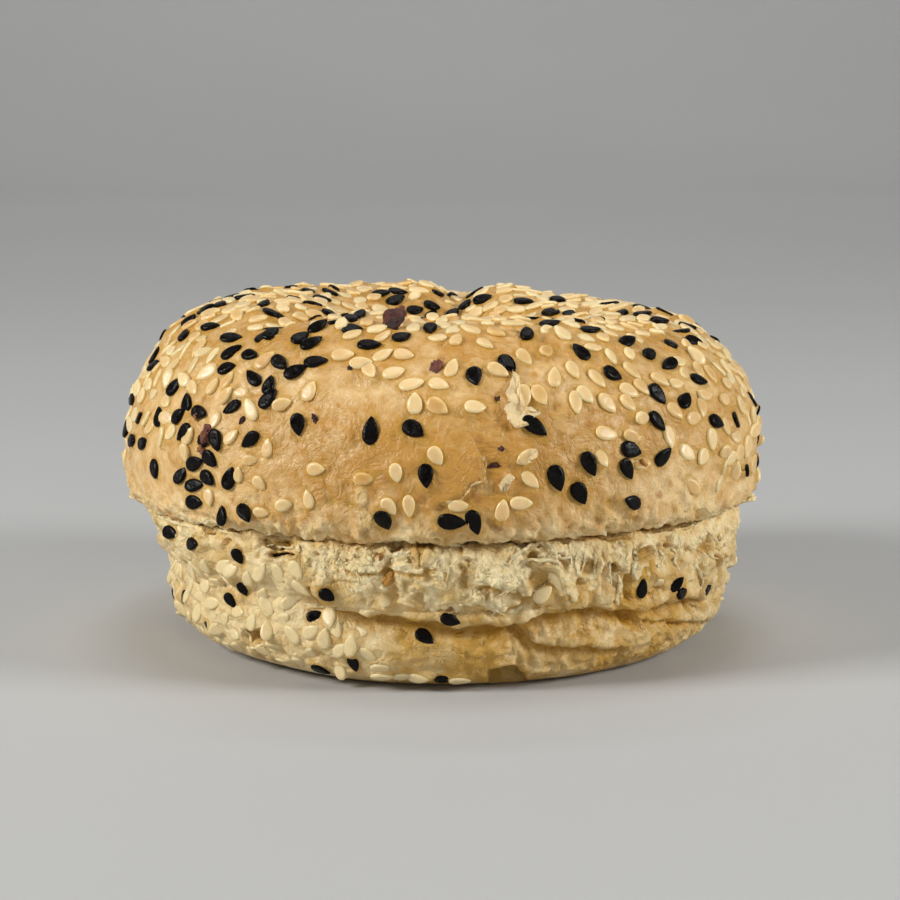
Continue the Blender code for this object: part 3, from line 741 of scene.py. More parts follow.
def dough_points(turn, section, crown):
    """The ring's points (turn, row, xyz) for a section, as crown (1) or as body (0)."""
    turn = turn[:, None]
    radius, height = section[None, :, 0], section[None, :, 1]
    even = np.stack(np.broadcast_arrays(radius * np.cos(turn), radius * np.sin(turn), height), -1)
    outer = smooth(HOLE_RADIUS, CREST_RADIUS, radius)
    lump = LUMP_DEPTH * old_noise(even / LUMP_SIZE)
    crag = CRAG_DEPTH * old_noise(even / CRAG_SIZE + np.array((5.0, 3.0, 1.0)))
    ring = np.stack([2.0 * np.cos(turn), 2.0 * np.sin(turn), np.full_like(turn, 4.0)], -1)
    wave = SEAM_WAVE * old_noise(ring)

    up_crown = np.clip((height - WIDEST_HEIGHT) / (HEIGHT - WIDEST_HEIGHT), 0.0, 1.0)
    shoulder = np.sin(math.pi * up_crown) * by_side(turn, SHOULDER_SWELL)
    crumb = smooth(CRUMB_FOOT_HEIGHT - 1.5 * MM, CRUMB_FOOT_HEIGHT + 1.0 * MM, height) * (1 - crown)
    overhang = smooth(CRUMB_FOOT_HEIGHT, SEAM_HEIGHT, height) * (1 - crown)
    near_seam = bell(height - SEAM_HEIGHT, 2.5 * MM)
    out = (
        by_side(turn, CROWN_REACH if crown else BODY_REACH)
        + lump * smooth(0.0, 4.0 * MM, height)
        + shoulder
        + overhang * by_side(turn, CRUMB_OVERHANG)
        + bell(height - CRUMB_FOOT_HEIGHT, 3.0 * MM) * by_side(turn, CRUMB_SAG) * (1 - crown)
        + crumb * crag
    )
    up = (
        up_crown * (by_side(turn, CREST_RISE) + lump)
        + up_crown * shoulder * (1.0 - up_crown)
        + near_seam * wave
        + (1 - crown) * smooth(CRUMB_FOOT_HEIGHT, SEAM_HEIGHT, height) * by_side(turn, SEAM_CLOSE)
        - smooth(0.45, 0.75, up_crown) * crease_depth(turn, radius)
    )
    far = radius + out * outer
    tall = np.maximum(0.0, height + up * outer)
    return np.stack(np.broadcast_arrays(far * np.cos(turn), far * np.sin(turn), tall), -1)


def grid_normals(points):
    """The outward normal at each point of a ring's grid."""
    around = np.roll(points, -1, 0) - np.roll(points, 1, 0)
    down = np.roll(points, -1, 1) - np.roll(points, 1, 1)
    normals = np.cross(down, around)
    return normals / np.maximum(np.linalg.norm(normals, axis=2, keepdims=True), 1e-12)


def ring_faces(turns, rows):
    """The quads of a closed ring's grid."""
    index = np.arange(turns * rows).reshape(turns, rows)
    corners = [index, np.roll(index, -1, 1), np.roll(index, (-1, -1), (0, 1)), np.roll(index, -1, 0)]
    return np.stack(corners, -1).reshape(-1, 4)


def new_object(name, data):
    """An object in the scene."""
    made = bpy.data.objects.new(name, data)
    bpy.context.scene.collection.objects.link(made)
    return made


def new_mesh(name, points, faces, finish):
    """A smooth mesh in the scene, of one material."""
    mesh = bpy.data.meshes.new(name)
    mesh.from_pydata(points, [], faces)
    mesh.shade_smooth()
    mesh.materials.append(finish)
    return new_object(name, mesh)


def make_piece(name, points, faces, marks, finish, slot):
    """A mesh piece of the bagel, with a value at each point for each mark."""
    piece = new_mesh(name, points.tolist(), faces, finish)
    for mark, values in marks.items():
        layer = piece.data.attributes.new(mark, "FLOAT", "POINT")
        layer.data.foreach_set("value", np.asarray(values, np.float32))
    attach(piece, "root")
    return piece


def torn_foot(turn):
    """The lowest height of torn crumb at each turn."""
    turns, feet = np.array(TORN_FEET).T
    return np.interp(np.degrees(turn) % 360.0, turns, feet * MM, period=360.0)


def facing_front(points, normals):
    """1 where the surface is on the side that the camera sees, and 0 elsewhere."""
    away = points - np.array(CAMERA_PLACE)
    return (np.sum(away * normals, axis=1) < 0) * (points[:, 1] < FRONT_HALF)


def back_fold(turn, height):
    """How far the folds away from the front draw the body's skin in."""
    deepest = np.zeros_like(turn)
    for start, end, start_height, end_height in BACK_FOLDS:
        start, end = math.radians(start), math.radians(end)
        start_height, end_height = start_height * MM, end_height * MM
        part = np.clip((turn - start) / (end - start), 0.0, 1.0)
        middle = start_height + (end_height - start_height) * part
        fade = smooth(start - FOLD_FADE, start, turn) * (1.0 - smooth(end, end + FOLD_FADE, turn))
        deepest = np.maximum(deepest, fade * bell(height - middle, FOLD_WIDTH))
    return deepest


def torn_depth(points):
    """How far a point lies above the ragged foot of the torn crumb."""
    turn = np.arctan2(points[:, 1], points[:, 0]) % math.tau
    ragged = 1.5 * MM * lattice_noise(points, 4.0 * MM, 3) + 0.8 * MM * lattice_noise(points, 1.5 * MM, 4)
    return points[:, 2] - torn_foot(turn) + ragged


def torn_share(points):
    """1 where the body's face is torn crumb, and 0 where it is skin."""
    return smooth(-0.25 * MM, 0.25 * MM, torn_depth(points))


def body_marks(points, normals):
    """The body's folds and hollows: how far they move the surface, and how much painted shade a point takes
    in them.
    """
    turn = np.arctan2(points[:, 1], points[:, 0]) % math.tau
    seen = facing_front(points, normals)
    picture = wandering_picture(points, 3.0, (3.0, 12), (2.4, 13))
    push = np.zeros(len(points))
    deep = np.zeros(len(points))
    for line, *sizes in FOLDS:
        depth, reach, bulge = (size * MM for size in sizes)
        far, above, past = line_distance(picture, line)
        far = far / PX_PER_METRE
        fade = seen * np.where(past, bell(far, 0.5 * MM), 1.0)
        under = np.where(above, bell(far, 0.3 * MM), np.exp(-((far / reach) ** 1.5)))
        over = np.where(above, bell(far - 1.2 * MM, 1.1 * MM), 0.0)
        push += fade * (bulge * over - depth * under)
        # Painted shade under each fold and along its edge.
        deep = np.maximum(deep, fade * np.where(above, bell(far, 0.3 * MM), bell(far, 0.95 * reach)))
    for middle, half, depth in HOLLOWS:
        apart = np.linalg.norm((picture - middle) / half, axis=1)
        inside = seen * (1.0 - smooth(0.7, 1.1, apart))
        push += seen * 0.22 * MM * bell(apart - 1.25, 0.25) - depth * MM * inside
        # Painted shade inside each hollow.
        deep = np.maximum(deep, 0.9 * inside)
    outside = smooth(30.0 * MM, RIM_INSIDE, np.hypot(points[:, 0], points[:, 1]))
    behind = back_fold(turn, points[:, 2]) * outside
    # The folds away from the front get painted shade too.
    return push - FOLD_DEPTH * behind, np.clip(np.maximum(deep, 0.8 * behind), 0.0, 1.0)


def crumb_roughness(points, normals):
    """How ragged the torn crumb is, from 0 for smooth stretched dough to 1 for loose granular crumb."""
    front = 0.15 + strongest(picture_of(points), RAGGED, soft_edge)
    elsewhere = smooth(-0.25, 0.35, lattice_noise(points, 9.0 * MM, 48))
    return np.where(facing_front(points, normals), front, elsewhere)


def stretched_share(points, normals):
    """How far the torn crumb is drawn out into upright strands."""
    front = strongest(picture_of(points), STRETCHED, soft_edge)
    elsewhere = smooth(0.05, 0.4, lattice_noise(points, 11.0 * MM, 57))
    return np.where(facing_front(points, normals), front, elsewhere)


def spots(points, normals, places):
    """How far points of the front lie in ragged spots of it, from 0 to 1."""
    picture = wandering_picture(points, 2.5, (1.6, 71), (1.4, 72))
    return strongest(picture, places, clear_edge) * facing_front(points, normals)


def band_relief(points, normals):
    """The torn crumb's relief: lumps, creases, pores and strands, tucked away where the skin is whole."""
    push, deep = body_marks(points, normals)
    rough = np.clip(crumb_roughness(points, normals), 0.0, 1.0)
    stretched = stretched_share(points, normals)
    upright = np.abs(lattice_noise(points * (1.0, 1.0, 0.22), 1.3 * MM, 49))
    shift = warp(points, 0.9, 2.6, 40)
    bent = points * (1.0, 1.0, 0.62) + shift
    lumps = lattice_noise(points, 4.2 * MM, 43)
    creases = np.abs(lattice_noise(bent, 2.0 * MM, 44))
    fine = np.abs(lattice_noise(points * (1.0, 1.0, 0.8) + 0.5 * shift, 0.9 * MM, 45))
    porous = smooth(-0.2, 0.3, lattice_noise(points, 5.0 * MM, 58))
    pores = smooth(0.42, 0.2, bubbles(bent, 2.1 * MM, 46)) * porous
    crumb = (
        0.75 * lumps
        + (0.6 + 0.8 * rough) * (np.minimum(creases, 0.3) - 0.16)
        + (0.3 + 0.5 * rough) * (fine - 0.16)
        - 0.8 * pores
        + 1.2 * stretched * (0.22 - np.minimum(upright, 0.45))
    )
    depth = torn_depth(points)
    torn = smooth(-1.3 * MM, -0.3 * MM, depth)
    face = smooth(*CRUMB_FACE, np.hypot(points[:, 0], points[:, 1]))
    push = push + face * (torn * crumb * MM + 0.3 * MM * torn - TUCK * (1.0 - torn))
    turn = np.arctan2(points[:, 1], points[:, 0])
    on_left = smooth(0.6, 0.95, -np.cos(turn))
    waist = LEFT_WAIST * bell(points[:, 2] - LEFT_WAIST_HEIGHT, 2.4 * MM) * on_left
    push = push - face * (by_side(turn, BAND_TRIM) + waist)
    near_foot = smooth(1.8 * MM, 0.0, depth) * (1.0 - rough)
    under_lip = smooth(SEAM_HEIGHT - 1.4 * MM, SEAM_HEIGHT - 0.2 * MM, points[:, 2])
    bake = 0.45 - 0.5 * rough + 0.6 * lattice_noise(points, 4.0 * MM, 47)
    bake = bake + 0.6 * lattice_noise(points, 1.5 * MM, 59)
    # Painted shade in folds, hollows, pores, creases, grooves between strands and under the crown's lip, and
    # the stains, partly browned and partly painted shade.
    hollow = (
        np.maximum(deep, spots(points, normals, STAINS))
        + 0.75 * pores
        + 0.25 * smooth(0.06, 0.0, creases)
        + 0.75 * stretched * smooth(0.25, 0.42, upright)
        + 0.5 * under_lip * smooth(-0.3, 0.3, lattice_noise(points, 3.0 * MM, 70))
    )
    marks = {
        "torn": np.clip((0.5 + 0.5 * rough) * (1.0 - 0.7 * near_foot), 0.0, 1.0),
        "hollow": np.clip(hollow, 0.0, 1.0),
        "bake": np.clip(bake, 0.0, 1.0),
    }
    return push, marks


def body_relief(points, normals):
    """The body's relief: soft lumps, folds of slack skin and stretched veins in it."""
    height = points[:, 2]
    push, deep = body_marks(points, normals)
    outside = smooth(30.0 * MM, RIM_INSIDE, np.hypot(points[:, 0], points[:, 1]))
    bent = points + warp(points, 1.2, 3.4, 50)
    turn = np.arctan2(points[:, 1], points[:, 0])
    knobbly = smooth(-0.1, 0.35, np.sin(turn * 2.0 + 0.6) + 0.7 * lattice_noise(points, 12.0 * MM, 53))
    folds = np.abs(lattice_noise(bent, 2.8 * MM, 54))
    veins = np.maximum(0.0, 1.0 - 5.0 * np.abs(lattice_noise(bent, 2.2 * MM, 55)))
    skin = (
        0.30 * lattice_noise(points, 5.0 * MM, 9)
        + (0.25 + 0.8 * knobbly) * (np.minimum(folds, 0.4) - 0.18)
        + 0.12 * veins
        + 0.22 * lattice_noise(bent, 1.6 * MM, 10)
        + 0.14 * lattice_noise(bent, 0.8 * MM, 11)
    )
    upright = np.abs(lattice_noise(bent * (1.0, 1.0, 0.35), 1.7 * MM, 73))
    doughy = within(turn, DOUGHY_TURNS)
    wrinkles = 1.1 * (0.16 - np.minimum(upright, 0.35)) + 0.35 * lattice_noise(bent, 1.1 * MM, 74)
    skin = skin + doughy * wrinkles
    torn = smooth(0.2 * MM, 1.2 * MM, torn_depth(points))
    heel = HEEL_LIFT * bell(height - 1.5 * MM, 4.5 * MM) * smooth(HEEL_FADE, 1.0, np.cos(turn - HEEL_TURN))
    lifted = smooth(0.2 * MM, 3.0 * MM, height)
    push = lifted * outside * (skin * MM - torn * TUCK) + np.where(push < 0.0, push, lifted * push)
    push = push - outside * heel
    behind = smooth(-0.1, 0.4, lattice_noise(points, 22.0 * MM, 56)) * (turn > 0)
    golden = within(turn, GOLDEN_TURNS) + 0.6 * behind
    # Painted shade in the valleys of knobbly folds and the grooves of slack wrinkles, and the stains, partly
    # browned and partly painted shade.
    deep = np.maximum(deep, spots(points, normals, STAINS))
    deep = deep + 0.35 * knobbly * smooth(0.07, 0.0, folds) + 0.6 * doughy * smooth(0.22, 0.36, upright)
    marks = {
        "torn": torn * 0.6,
        "hollow": np.clip(deep, 0.0, 1.0),
        "bake": np.clip(0.15 + 0.6 * golden + 0.5 * lattice_noise(points, 7.0 * MM, 14), 0.0, 1.0),
    }
    return push, marks


def crown_relief(points, normals):
    """The crown's relief: soft lumps, wrinkles, blisters and the torn lower edge."""
    height = points[:, 2]
    radius = np.hypot(points[:, 0], points[:, 1])
    rim = smooth(RIM_INSIDE, 41.0 * MM, radius)
    turn = np.arctan2(points[:, 1], points[:, 0])
    lip_top = 28.0 * MM + by_side(turn, LIP_RAGGED)
    near_lip = (1.0 - smooth(22.0 * MM, lip_top, height)) * rim
    ragged = 1.1 * MM * lattice_noise(points, 3.0 * MM, 21) + 0.6 * MM * lattice_noise(points, 1.2 * MM, 22)
    torn = (1.0 - smooth(21.7 * MM, 22.5 * MM, height + ragged)) * rim
    shift = warp(points, 1.0, 3.2, 60)
    bent = points + shift
    wrinkled = smooth(-0.15, 0.35, lattice_noise(points, 10.0 * MM, 63))
    puffs = np.abs(lattice_noise(bent, 3.0 * MM, 64))
    small_puffs = np.abs(lattice_noise(points + 0.4 * shift, 1.4 * MM, 69))
    blisters = bubbles(points, 2.5 * MM, 65)
    lip_bubbles = smooth(0.34, 0.16, bubbles(bent, 2.0 * MM, 75))
    skin = (
        0.28 * lattice_noise(points, 6.5 * MM, 23)
        + 0.14 * lattice_noise(points, 2.4 * MM, 24)
        + (0.12 + 0.22 * wrinkled) * np.minimum(puffs, 0.45)
        + (0.05 + 0.16 * wrinkled) * np.minimum(small_puffs, 0.4)
        + 0.20 * smooth(0.30, 0.12, bubbles(points, 5.2 * MM, 29))
        + 0.22 * smooth(0.28, 0.14, blisters)
        - 0.16 * smooth(0.22, 0.1, bubbles(points, 3.1 * MM, 66))
        + near_lip * 1.3 * (np.abs(lattice_noise(bent * (1.0, 1.0, 0.6), 1.9 * MM, 26)) - 0.2)
        + near_lip * 0.5 * lattice_noise(points, 0.9 * MM, 68)
        - near_lip * 0.45 * lip_bubbles
    )
    furrows = smooth(0.07, 0.0, puffs) * (0.35 + 0.65 * wrinkled)
    pores = smooth(0.42, 0.18, bubbles(points, 1.5 * MM, 27))
    crumb = 0.8 * lattice_noise(bent, 1.8 * MM, 67) + 0.3 * lattice_noise(points, 0.8 * MM, 28) - 0.4 * pores

    picture = wandering_picture(points, 2.5, (1.8, 30), (1.5, 31))
    seen = facing_front(points, normals)
    far, above, past = line_distance(picture, CRUST_EDGE)
    far = far / PX_PER_METRE
    fade = seen * np.where(past, bell(far, 0.6 * MM), 1.0)
    step = fade * np.where(above, 0.5 * bell(far, 2.0 * MM), -0.5 * np.exp(-far / (1.8 * MM))) * CRUST_STEP
    crack = fade * bell(far, 0.3 * MM)
    pits = np.zeros(len(points))
    for middle, half, depth in PITS:
        pit = seen * (1.0 - smooth(0.6, 1.2, np.linalg.norm((picture - middle) / half, axis=1)))
        step = step - depth * MM * pit
        pits = np.maximum(pits, pit)

    # The crown is darker at its front and top, partly from real browning and partly as painted shade, and
    # darker in the furrows between puffs as painted shade; blisters are browned.
    golden = bell(points[:, 0] - 2.0 * MM, 22.0 * MM) * bell(height - 32.0 * MM, 9.0 * MM)
    golden = golden * (points[:, 1] < 0)
    top = smooth(42.0 * MM, 48.0 * MM, height)
    bake = 0.36 + 0.6 * golden + 0.35 * top + 0.45 * lattice_noise(points, 8.0 * MM, 32) - 0.05 * near_lip
    bake = bake + 0.3 * furrows + 0.4 * smooth(0.28, 0.12, blisters)
    push = MM * ((1.0 - torn) * skin + torn * crumb) + step - 0.2 * MM * crack
    floury = torn + 0.6 * near_lip * smooth(-0.2, 0.6, lattice_noise(bent, 2.6 * MM, 76))
    floury = floury + spots(points, normals, FLOURY_SPOTS)
    # Painted shade in the crack, the pits, the pores of the torn edge and the bubbles at the lip, and the
    # stains round seeds and pits, partly browned and partly painted shade.
    deep = np.maximum(0.7 * crack, 0.9 * pits) + torn * pores + 0.6 * near_lip * lip_bubbles
    deep = deep + 0.8 * spots(points, normals, CROWN_STAINS)
    marks = {
        "torn": np.clip(floury, 0.0, 1.0),
        "hollow": np.clip(deep, 0.0, 1.0),
        "bake": np.clip(bake, 0.0, 1.0),
    }
    return push, marks


# ---- Crumbs, shreds and peels ----

def lump_shape(steps):
    """A unit ball of triangles: its points and faces."""
    ball = bmesh.new()
    bmesh.ops.create_icosphere(ball, subdivisions=steps, radius=0.5)
    points = np.array([corner_point.co[:] for corner_point in ball.verts])
    faces = [tuple(corner_point.index for corner_point in face.verts) for face in ball.faces]
    ball.free()
    return points, faces


def gather(parts, mark_names):
    """Joins parts (points, faces, marks) into one."""
    points, faces, count = [], [], 0
    marks = {name: [] for name in mark_names}
    for part_points, part_faces, part_marks in parts:
        points.append(part_points)
        faces += [tuple(index + count for index in face) for face in part_faces]
        for name in mark_names:
            marks[name].append(np.full(len(part_points), part_marks[name], float))
        count += len(part_points)
    return np.concatenate(points), faces, {name: np.concatenate(marks[name]) for name in mark_names}


def across_normal(normal, angle):
    """The direction that lies across a normal at an angle."""
    side = normal.orthogonal().normalized()
    return side * math.cos(angle) + normal.cross(side) * math.sin(angle)


def ragged_lump(middle, axes, draw, shape):
    """An uneven lump with three axes, each as long as the lump is that way."""
    points, faces = shape
    field = int(draw.integers(1000, 9000))
    uneven = 0.6 * lattice_noise(points, 0.5, field) + 0.45 * lattice_noise(points, 0.24, field + 1)
    uneven = points * (1.0 + uneven)[:, None]
    return uneven @ np.array(axes) + np.array(middle), faces


def strand(path, half_widths, draw, sides=6, flat=0.6):
    """A closed tapering strip of crumb along a path of points (point, normal)."""
    points, faces = [], []
    last = len(path) - 1
    for index, (point, normal) in enumerate(path):
        ahead = (path[min(index + 1, last)][0] - path[max(index - 1, 0)][0]).normalized()
        across = ahead.cross(normal).normalized()
        up = across.cross(ahead)
        for side in range(sides):
            angle = math.tau * side / sides
            wide = half_widths[index] * draw.uniform(0.75, 1.25)
            points.append(point + across * math.cos(angle) * wide + up * math.sin(angle) * wide * flat)
    for ring, side in product(range(last), range(sides)):
        start, beside = ring * sides, (side + 1) % sides
        faces.append((start + side, start + beside, start + sides + beside, start + sides + side))
    faces.append(tuple(range(sides))[::-1])
    faces.append(tuple(range(last * sides, last * sides + sides)))
    return np.array(points), faces


def laid_strand(surface, pixels, half_width, lift, draw):
    """A shred that follows places in the picture, its ends in the surface and its middle lifted off."""
    line = np.array(pixels, float)
    along = run_along(line)
    steps = max(6, int(along[-1] / 3.0))
    path, widths = [], []
    for part in np.linspace(0.0, 1.0, steps):
        pixel = [np.interp(part * along[-1], along, line[:, axis]) for axis in (0, 1)]
        point, normal, _ = laid_on(surface, pixel, 0.0)
        rise = math.sin(math.pi * part) ** 0.5
        toward_eye = (Vector(CAMERA_PLACE) - point).normalized()
        path.append((point + (normal + toward_eye).normalized() * (lift * rise - 0.25 * MM), normal))
        widths.append(half_width * (0.45 + 0.55 * rise) * draw.uniform(0.75, 1.2))
    return strand(path, widths, draw)


def grown_strand(point, normal, ahead, length, half_width, lift, draw):
    """A short curled shred that grows from a point and falls back to the surface."""
    path, widths = [], []
    curl = draw.uniform(-1.6, 1.6)
    place = point - ahead * length * 0.5
    for step in range(7):
        part = step / 6
        angle = curl * (part - 0.5)
        heading = ahead * math.cos(angle) + normal.cross(ahead) * math.sin(angle)
        place = place + heading * (length / 6)
        rise = math.sin(math.pi * part)
        path.append((place + normal * (lift * rise - 0.15 * MM), normal))
        widths.append(half_width * (0.4 + 0.6 * rise))
    return strand(path, widths, draw, sides=5)


def peel_shape(surface, outline, lift, draw):
    """A thin sheet of crust whose outline follows places in the picture, lifted most at its first point."""
    rings, count = 5, 40
    outline = np.array(outline, float)
    middle = outline.mean(axis=0)
    along = np.arange(count) * len(outline) / count
    closed = np.concatenate([outline, outline[:1]])
    edge = np.stack([np.interp(along, np.arange(len(closed)), closed[:, axis]) for axis in (0, 1)], 1)
    edge = edge + draw.normal(0.0, 0.5, edge.shape)
    reach = np.linalg.norm(edge - outline[0], axis=1).max()
    top, bottom = [], []
    for ring, place in product(range(rings), range(count)):
        pixel = middle + (edge[place] - middle) * ((ring + 1) / rings) ** 0.8
        point, normal, _ = laid_on(surface, pixel, 0.0)
        near = 1.0 - np.linalg.norm(pixel - outline[0]) / reach
        rise = 0.25 * MM + lift * (0.5 + 0.5 * max(0.0, near)) * ((ring + 1) / rings) ** 1.2
        rise += 0.35 * MM * noise.noise(point / (1.4 * MM))
        top.append(point + normal * rise)
        bottom.append(point + normal * (rise - (0.42 if ring < rings - 1 else 0.22) * MM))
    centre, normal, _ = laid_on(surface, middle, 0.0)
    top.append(centre + normal * 0.3 * MM)
    bottom.append(centre - normal * 0.12 * MM)
    faces = []
    size = rings * count
    under = size + 1
    for place in range(count):
        beside = (place + 1) % count
        faces.append((size, place, beside))
        faces.append((size + under, under + beside, under + place))
        for start in range(0, size - count, count):
            sheet = (start + place, start + count + place, start + count + beside, start + beside)
            faces.append(sheet)
            faces.append(tuple(under + sheet[index] for index in (0, 3, 2, 1)))
        rim = size - count
        faces.append((rim + place, rim + place + under, rim + beside + under, rim + beside))
    return np.array(top + bottom), faces


def crumb_chances(band):
    """The middle of each face of the torn band, and how likely a loose crumb is to lie on it."""
    middles, areas = grid_middles(band)
    outward = middles * (1.0, 1.0, 0.0)
    from_strands = (picture_of(middles) - STRANDS_MIDDLE) / STRANDS_HALF
    strands = facing_front(middles, outward) * bell(from_strands[:, 0], 1.0) * bell(from_strands[:, 1], 1.0)
    chance = areas * torn_share(middles) * (middles[:, 2] < SEAM_HEIGHT) * (1.0 - 0.8 * strands)
    chance = chance * np.clip(crumb_roughness(middles, outward), 0.0, 1.0) ** 1.5
    chance = chance * (1.0 - smooth(0.1, 0.4, spots(middles, outward, STAINS)))
    return middles, chance / chance.sum()


def scattered(surface, middles, chance, count, draw):
    """Some places on the surface, picked by chance, each as its point and normal."""
    for pick in draw.choice(len(chance), size=count, p=chance):
        yield surface.find_nearest(Vector(middles[pick]))[:2]


def loose_lumps(surface, middles, chance, draw):
    """The granular lumps of torn crumb."""
    shape = lump_shape(2)
    for point, normal in scattered(surface, middles, chance, CRUMB_LUMPS, draw):
        length = MM * min(LONGEST_LUMP, draw.lognormal(*LUMP_LENGTHS))
        along = across_normal(normal, draw.uniform(0.0, math.tau))
        wide = normal.cross(along) * length * draw.uniform(0.4, 0.8)
        tall = normal * length * draw.uniform(0.35, 0.7)
        lump, faces = ragged_lump(point + normal * 0.08 * MM, (along * length, wide, tall), draw, shape)
        yield lump, faces, {"torn": 1.0, "hollow": 0.0, "bake": draw.uniform(0.0, 0.4)}


def loose_shreds(surface, middles, chance, draw):
    """The small shreds that hang about the torn crumb, and the large ones that lie where they are seen."""
    for point, normal in scattered(surface, middles, chance, CRUMB_SHREDS, draw):
        down = Vector((0.0, 0.0, -1.0)) + normal.cross(Vector((0.0, 0.0, 1.0))) * draw.normal(0.0, 0.9)
        ahead = (down - normal * down.dot(normal)).normalized()
        sizes = [draw.uniform(*ends) * MM for ends in (SHRED_LENGTHS, SHRED_HALF_WIDTHS, SHRED_LIFTS)]
        shred, faces = grown_strand(point, normal, ahead, *sizes, draw)
        yield shred, faces, {"torn": 1.0, "hollow": 0.0, "bake": draw.uniform(0.0, 0.3)}
    for pixels, half_width, lift, white in SHREDS:
        shred, faces = laid_strand(surface, pixels, half_width * MM, lift * MM, draw)
        yield shred, faces, {"torn": 1.0, "hollow": 0.85 * (1.0 - white), "bake": 1.0 - white}


def peels_and_tags(surface, draw):
    """The sheets of crust that have lifted, the edge of the cracked crust, and the tags at the rim."""
    for outline, lift, bake in PEELS:
        peel, faces = peel_shape(surface, outline, lift * MM, draw)
        yield peel, faces, {"torn": 0.45, "hollow": 0.0, "bake": bake}
    edge, faces = laid_strand(surface, CRUST_EDGE, 0.24 * MM, 0.32 * MM, draw)
    yield edge, faces, {"torn": 0.1, "hollow": 0.0, "bake": 0.2}
    shape = lump_shape(4)
    for turn, *sizes in TAGS:
        turn = math.radians(turn)
        radius, height, length, width, thickness = (size * MM for size in sizes)
        around = Vector((-math.sin(turn), math.cos(turn), 0.0))
        outward = Vector((math.cos(turn), math.sin(turn), 0.15)).normalized()
        axes = (around * length, outward * width, around.cross(outward) * thickness)
        middle = Vector((radius * math.cos(turn), radius * math.sin(turn), height)) - outward * 0.4 * MM
        tag, faces = ragged_lump(middle, axes, draw, shape)
        yield tag, faces, {"torn": 0.9, "hollow": 0.0, "bake": 0.1}


def make_crumbs(surface, band, finishes):
    """The torn crumb's lumps and shreds, the peels of crust, and the tags at the rim."""
    draw = np.random.default_rng(11)
    middles, chance = crumb_chances(band)
    for name, parts, finish, slot in (
        ("crumb_lumps", loose_lumps(surface, middles, chance, draw), "torn_crumb", "crumb"),
        ("crumb_shreds", loose_shreds(surface, middles, chance, draw), "torn_crumb", "crumb"),
        ("crust_peels", peels_and_tags(surface, draw), "crown", "crust"),
    ):
        make_piece(name, *gather(parts, CRUMB_MARKS), finishes[finish], slot)


def make_flakes(surface, finishes):
    """The dark onion-brown husk that stands in the crease, and toasted bits on the crown."""
    draw = np.random.default_rng(12)
    parts = []
    fine_shape = lump_shape(4)
    for pixel, heading, sizes, lean, tone in FLAKES:
        point, normal, ahead = laid_on(surface, pixel, heading)
        length, width, thickness = (size * MM for size in sizes)
        eye = (Vector(CAMERA_PLACE) - point).normalized()
        ahead = (ahead - eye * ahead.dot(eye)).normalized()
        along = (ahead * math.cos(lean) + normal * math.sin(lean)).normalized()
        across = eye.cross(along).normalized()
        axes = (along * length, across * width, along.cross(across) * thickness)
        middle = point + normal * (0.35 * length * math.sin(lean) + 0.1 * MM)
        flake, faces = ragged_lump(middle, axes, draw, fine_shape)
        parts.append((flake, faces, {"tone": tone}))
    make_piece("dark_flakes", *gather(parts, ("tone",)), finishes["flake"], "flake")


# ---- Seeds ----

def drop_shape(rings, sides, taper):
    """A unit drop, narrowed to +X, flat and dished on top: its points, faces and nearness to the rim."""
    points, rims = [(-0.5, 0.0, 0.0)], [1.0]
    widest = (0.5 - taper) / (0.5 + taper)
    widest = 2.0 * (1.0 + widest) ** 0.5 * (1.0 - widest) ** taper
    for ring in range(1, rings):
        along = -math.cos(math.pi * ring / rings)
        wide = (1.0 + along) ** 0.5 * (1.0 - along) ** taper / widest
        thick = 0.5 * (1.0 + along) ** 0.3 * (1.0 - along) ** 0.45
        for side in range(sides):
            angle = math.tau * side / sides
            across, up = math.cos(angle), math.sin(angle)
            edge = max(across ** 2, (along + 0.12) ** 2)
            dish = 1.0 - SEED_DISH * max(0.0, 1.0 - edge / 0.42)
            up = math.copysign(abs(up) ** 0.6, up) * (dish if up > 0 else 1.0)
            points.append((along / 2, wide * across, thick * up))
            rims.append(min(1.0, edge ** 1.5))
    points.append((0.5, 0.0, 0.0))
    rims.append(1.0)
    faces = []
    last = len(points) - 1
    for side in range(sides):
        beside = (side + 1) % sides
        faces.append((0, 1 + beside, 1 + side))
        for ring in range(rings - 2):
            start = 1 + ring * sides
            faces.append((start + side, start + beside, start + sides + beside, start + sides + side))
        start = last - sides
        faces.append((last, start + side, start + beside))
    return np.array(points), faces, np.array(rims)


def laid_on(surface, pixel, heading):
    """A place seen at a pixel: its point, normal and the direction of a heading along the surface."""
    eye = Vector(CAMERA_PLACE)
    point, normal, _, _ = surface.ray_cast(eye, sight(pixel))
    if point is None:
        near, normal, _, _ = surface.find_nearest(eye + sight(pixel) * 0.35)
        point = near
    angle = math.radians(heading)
    ahead_pixel = (pixel[0] + 1.5 * math.cos(angle), pixel[1] - 1.5 * math.sin(angle))
    ahead, _, _, _ = surface.ray_cast(eye, sight(ahead_pixel))
    if ahead is None or (ahead - point).length > 4.0 * MM:
        right = Vector((1.0, 0.0, 0.0))
        up = Vector((0.0, math.sin(CAMERA_TILT), math.cos(CAMERA_TILT)))
        return point, normal, right * math.cos(angle) + up * math.sin(angle)
    return point, normal, ahead - point


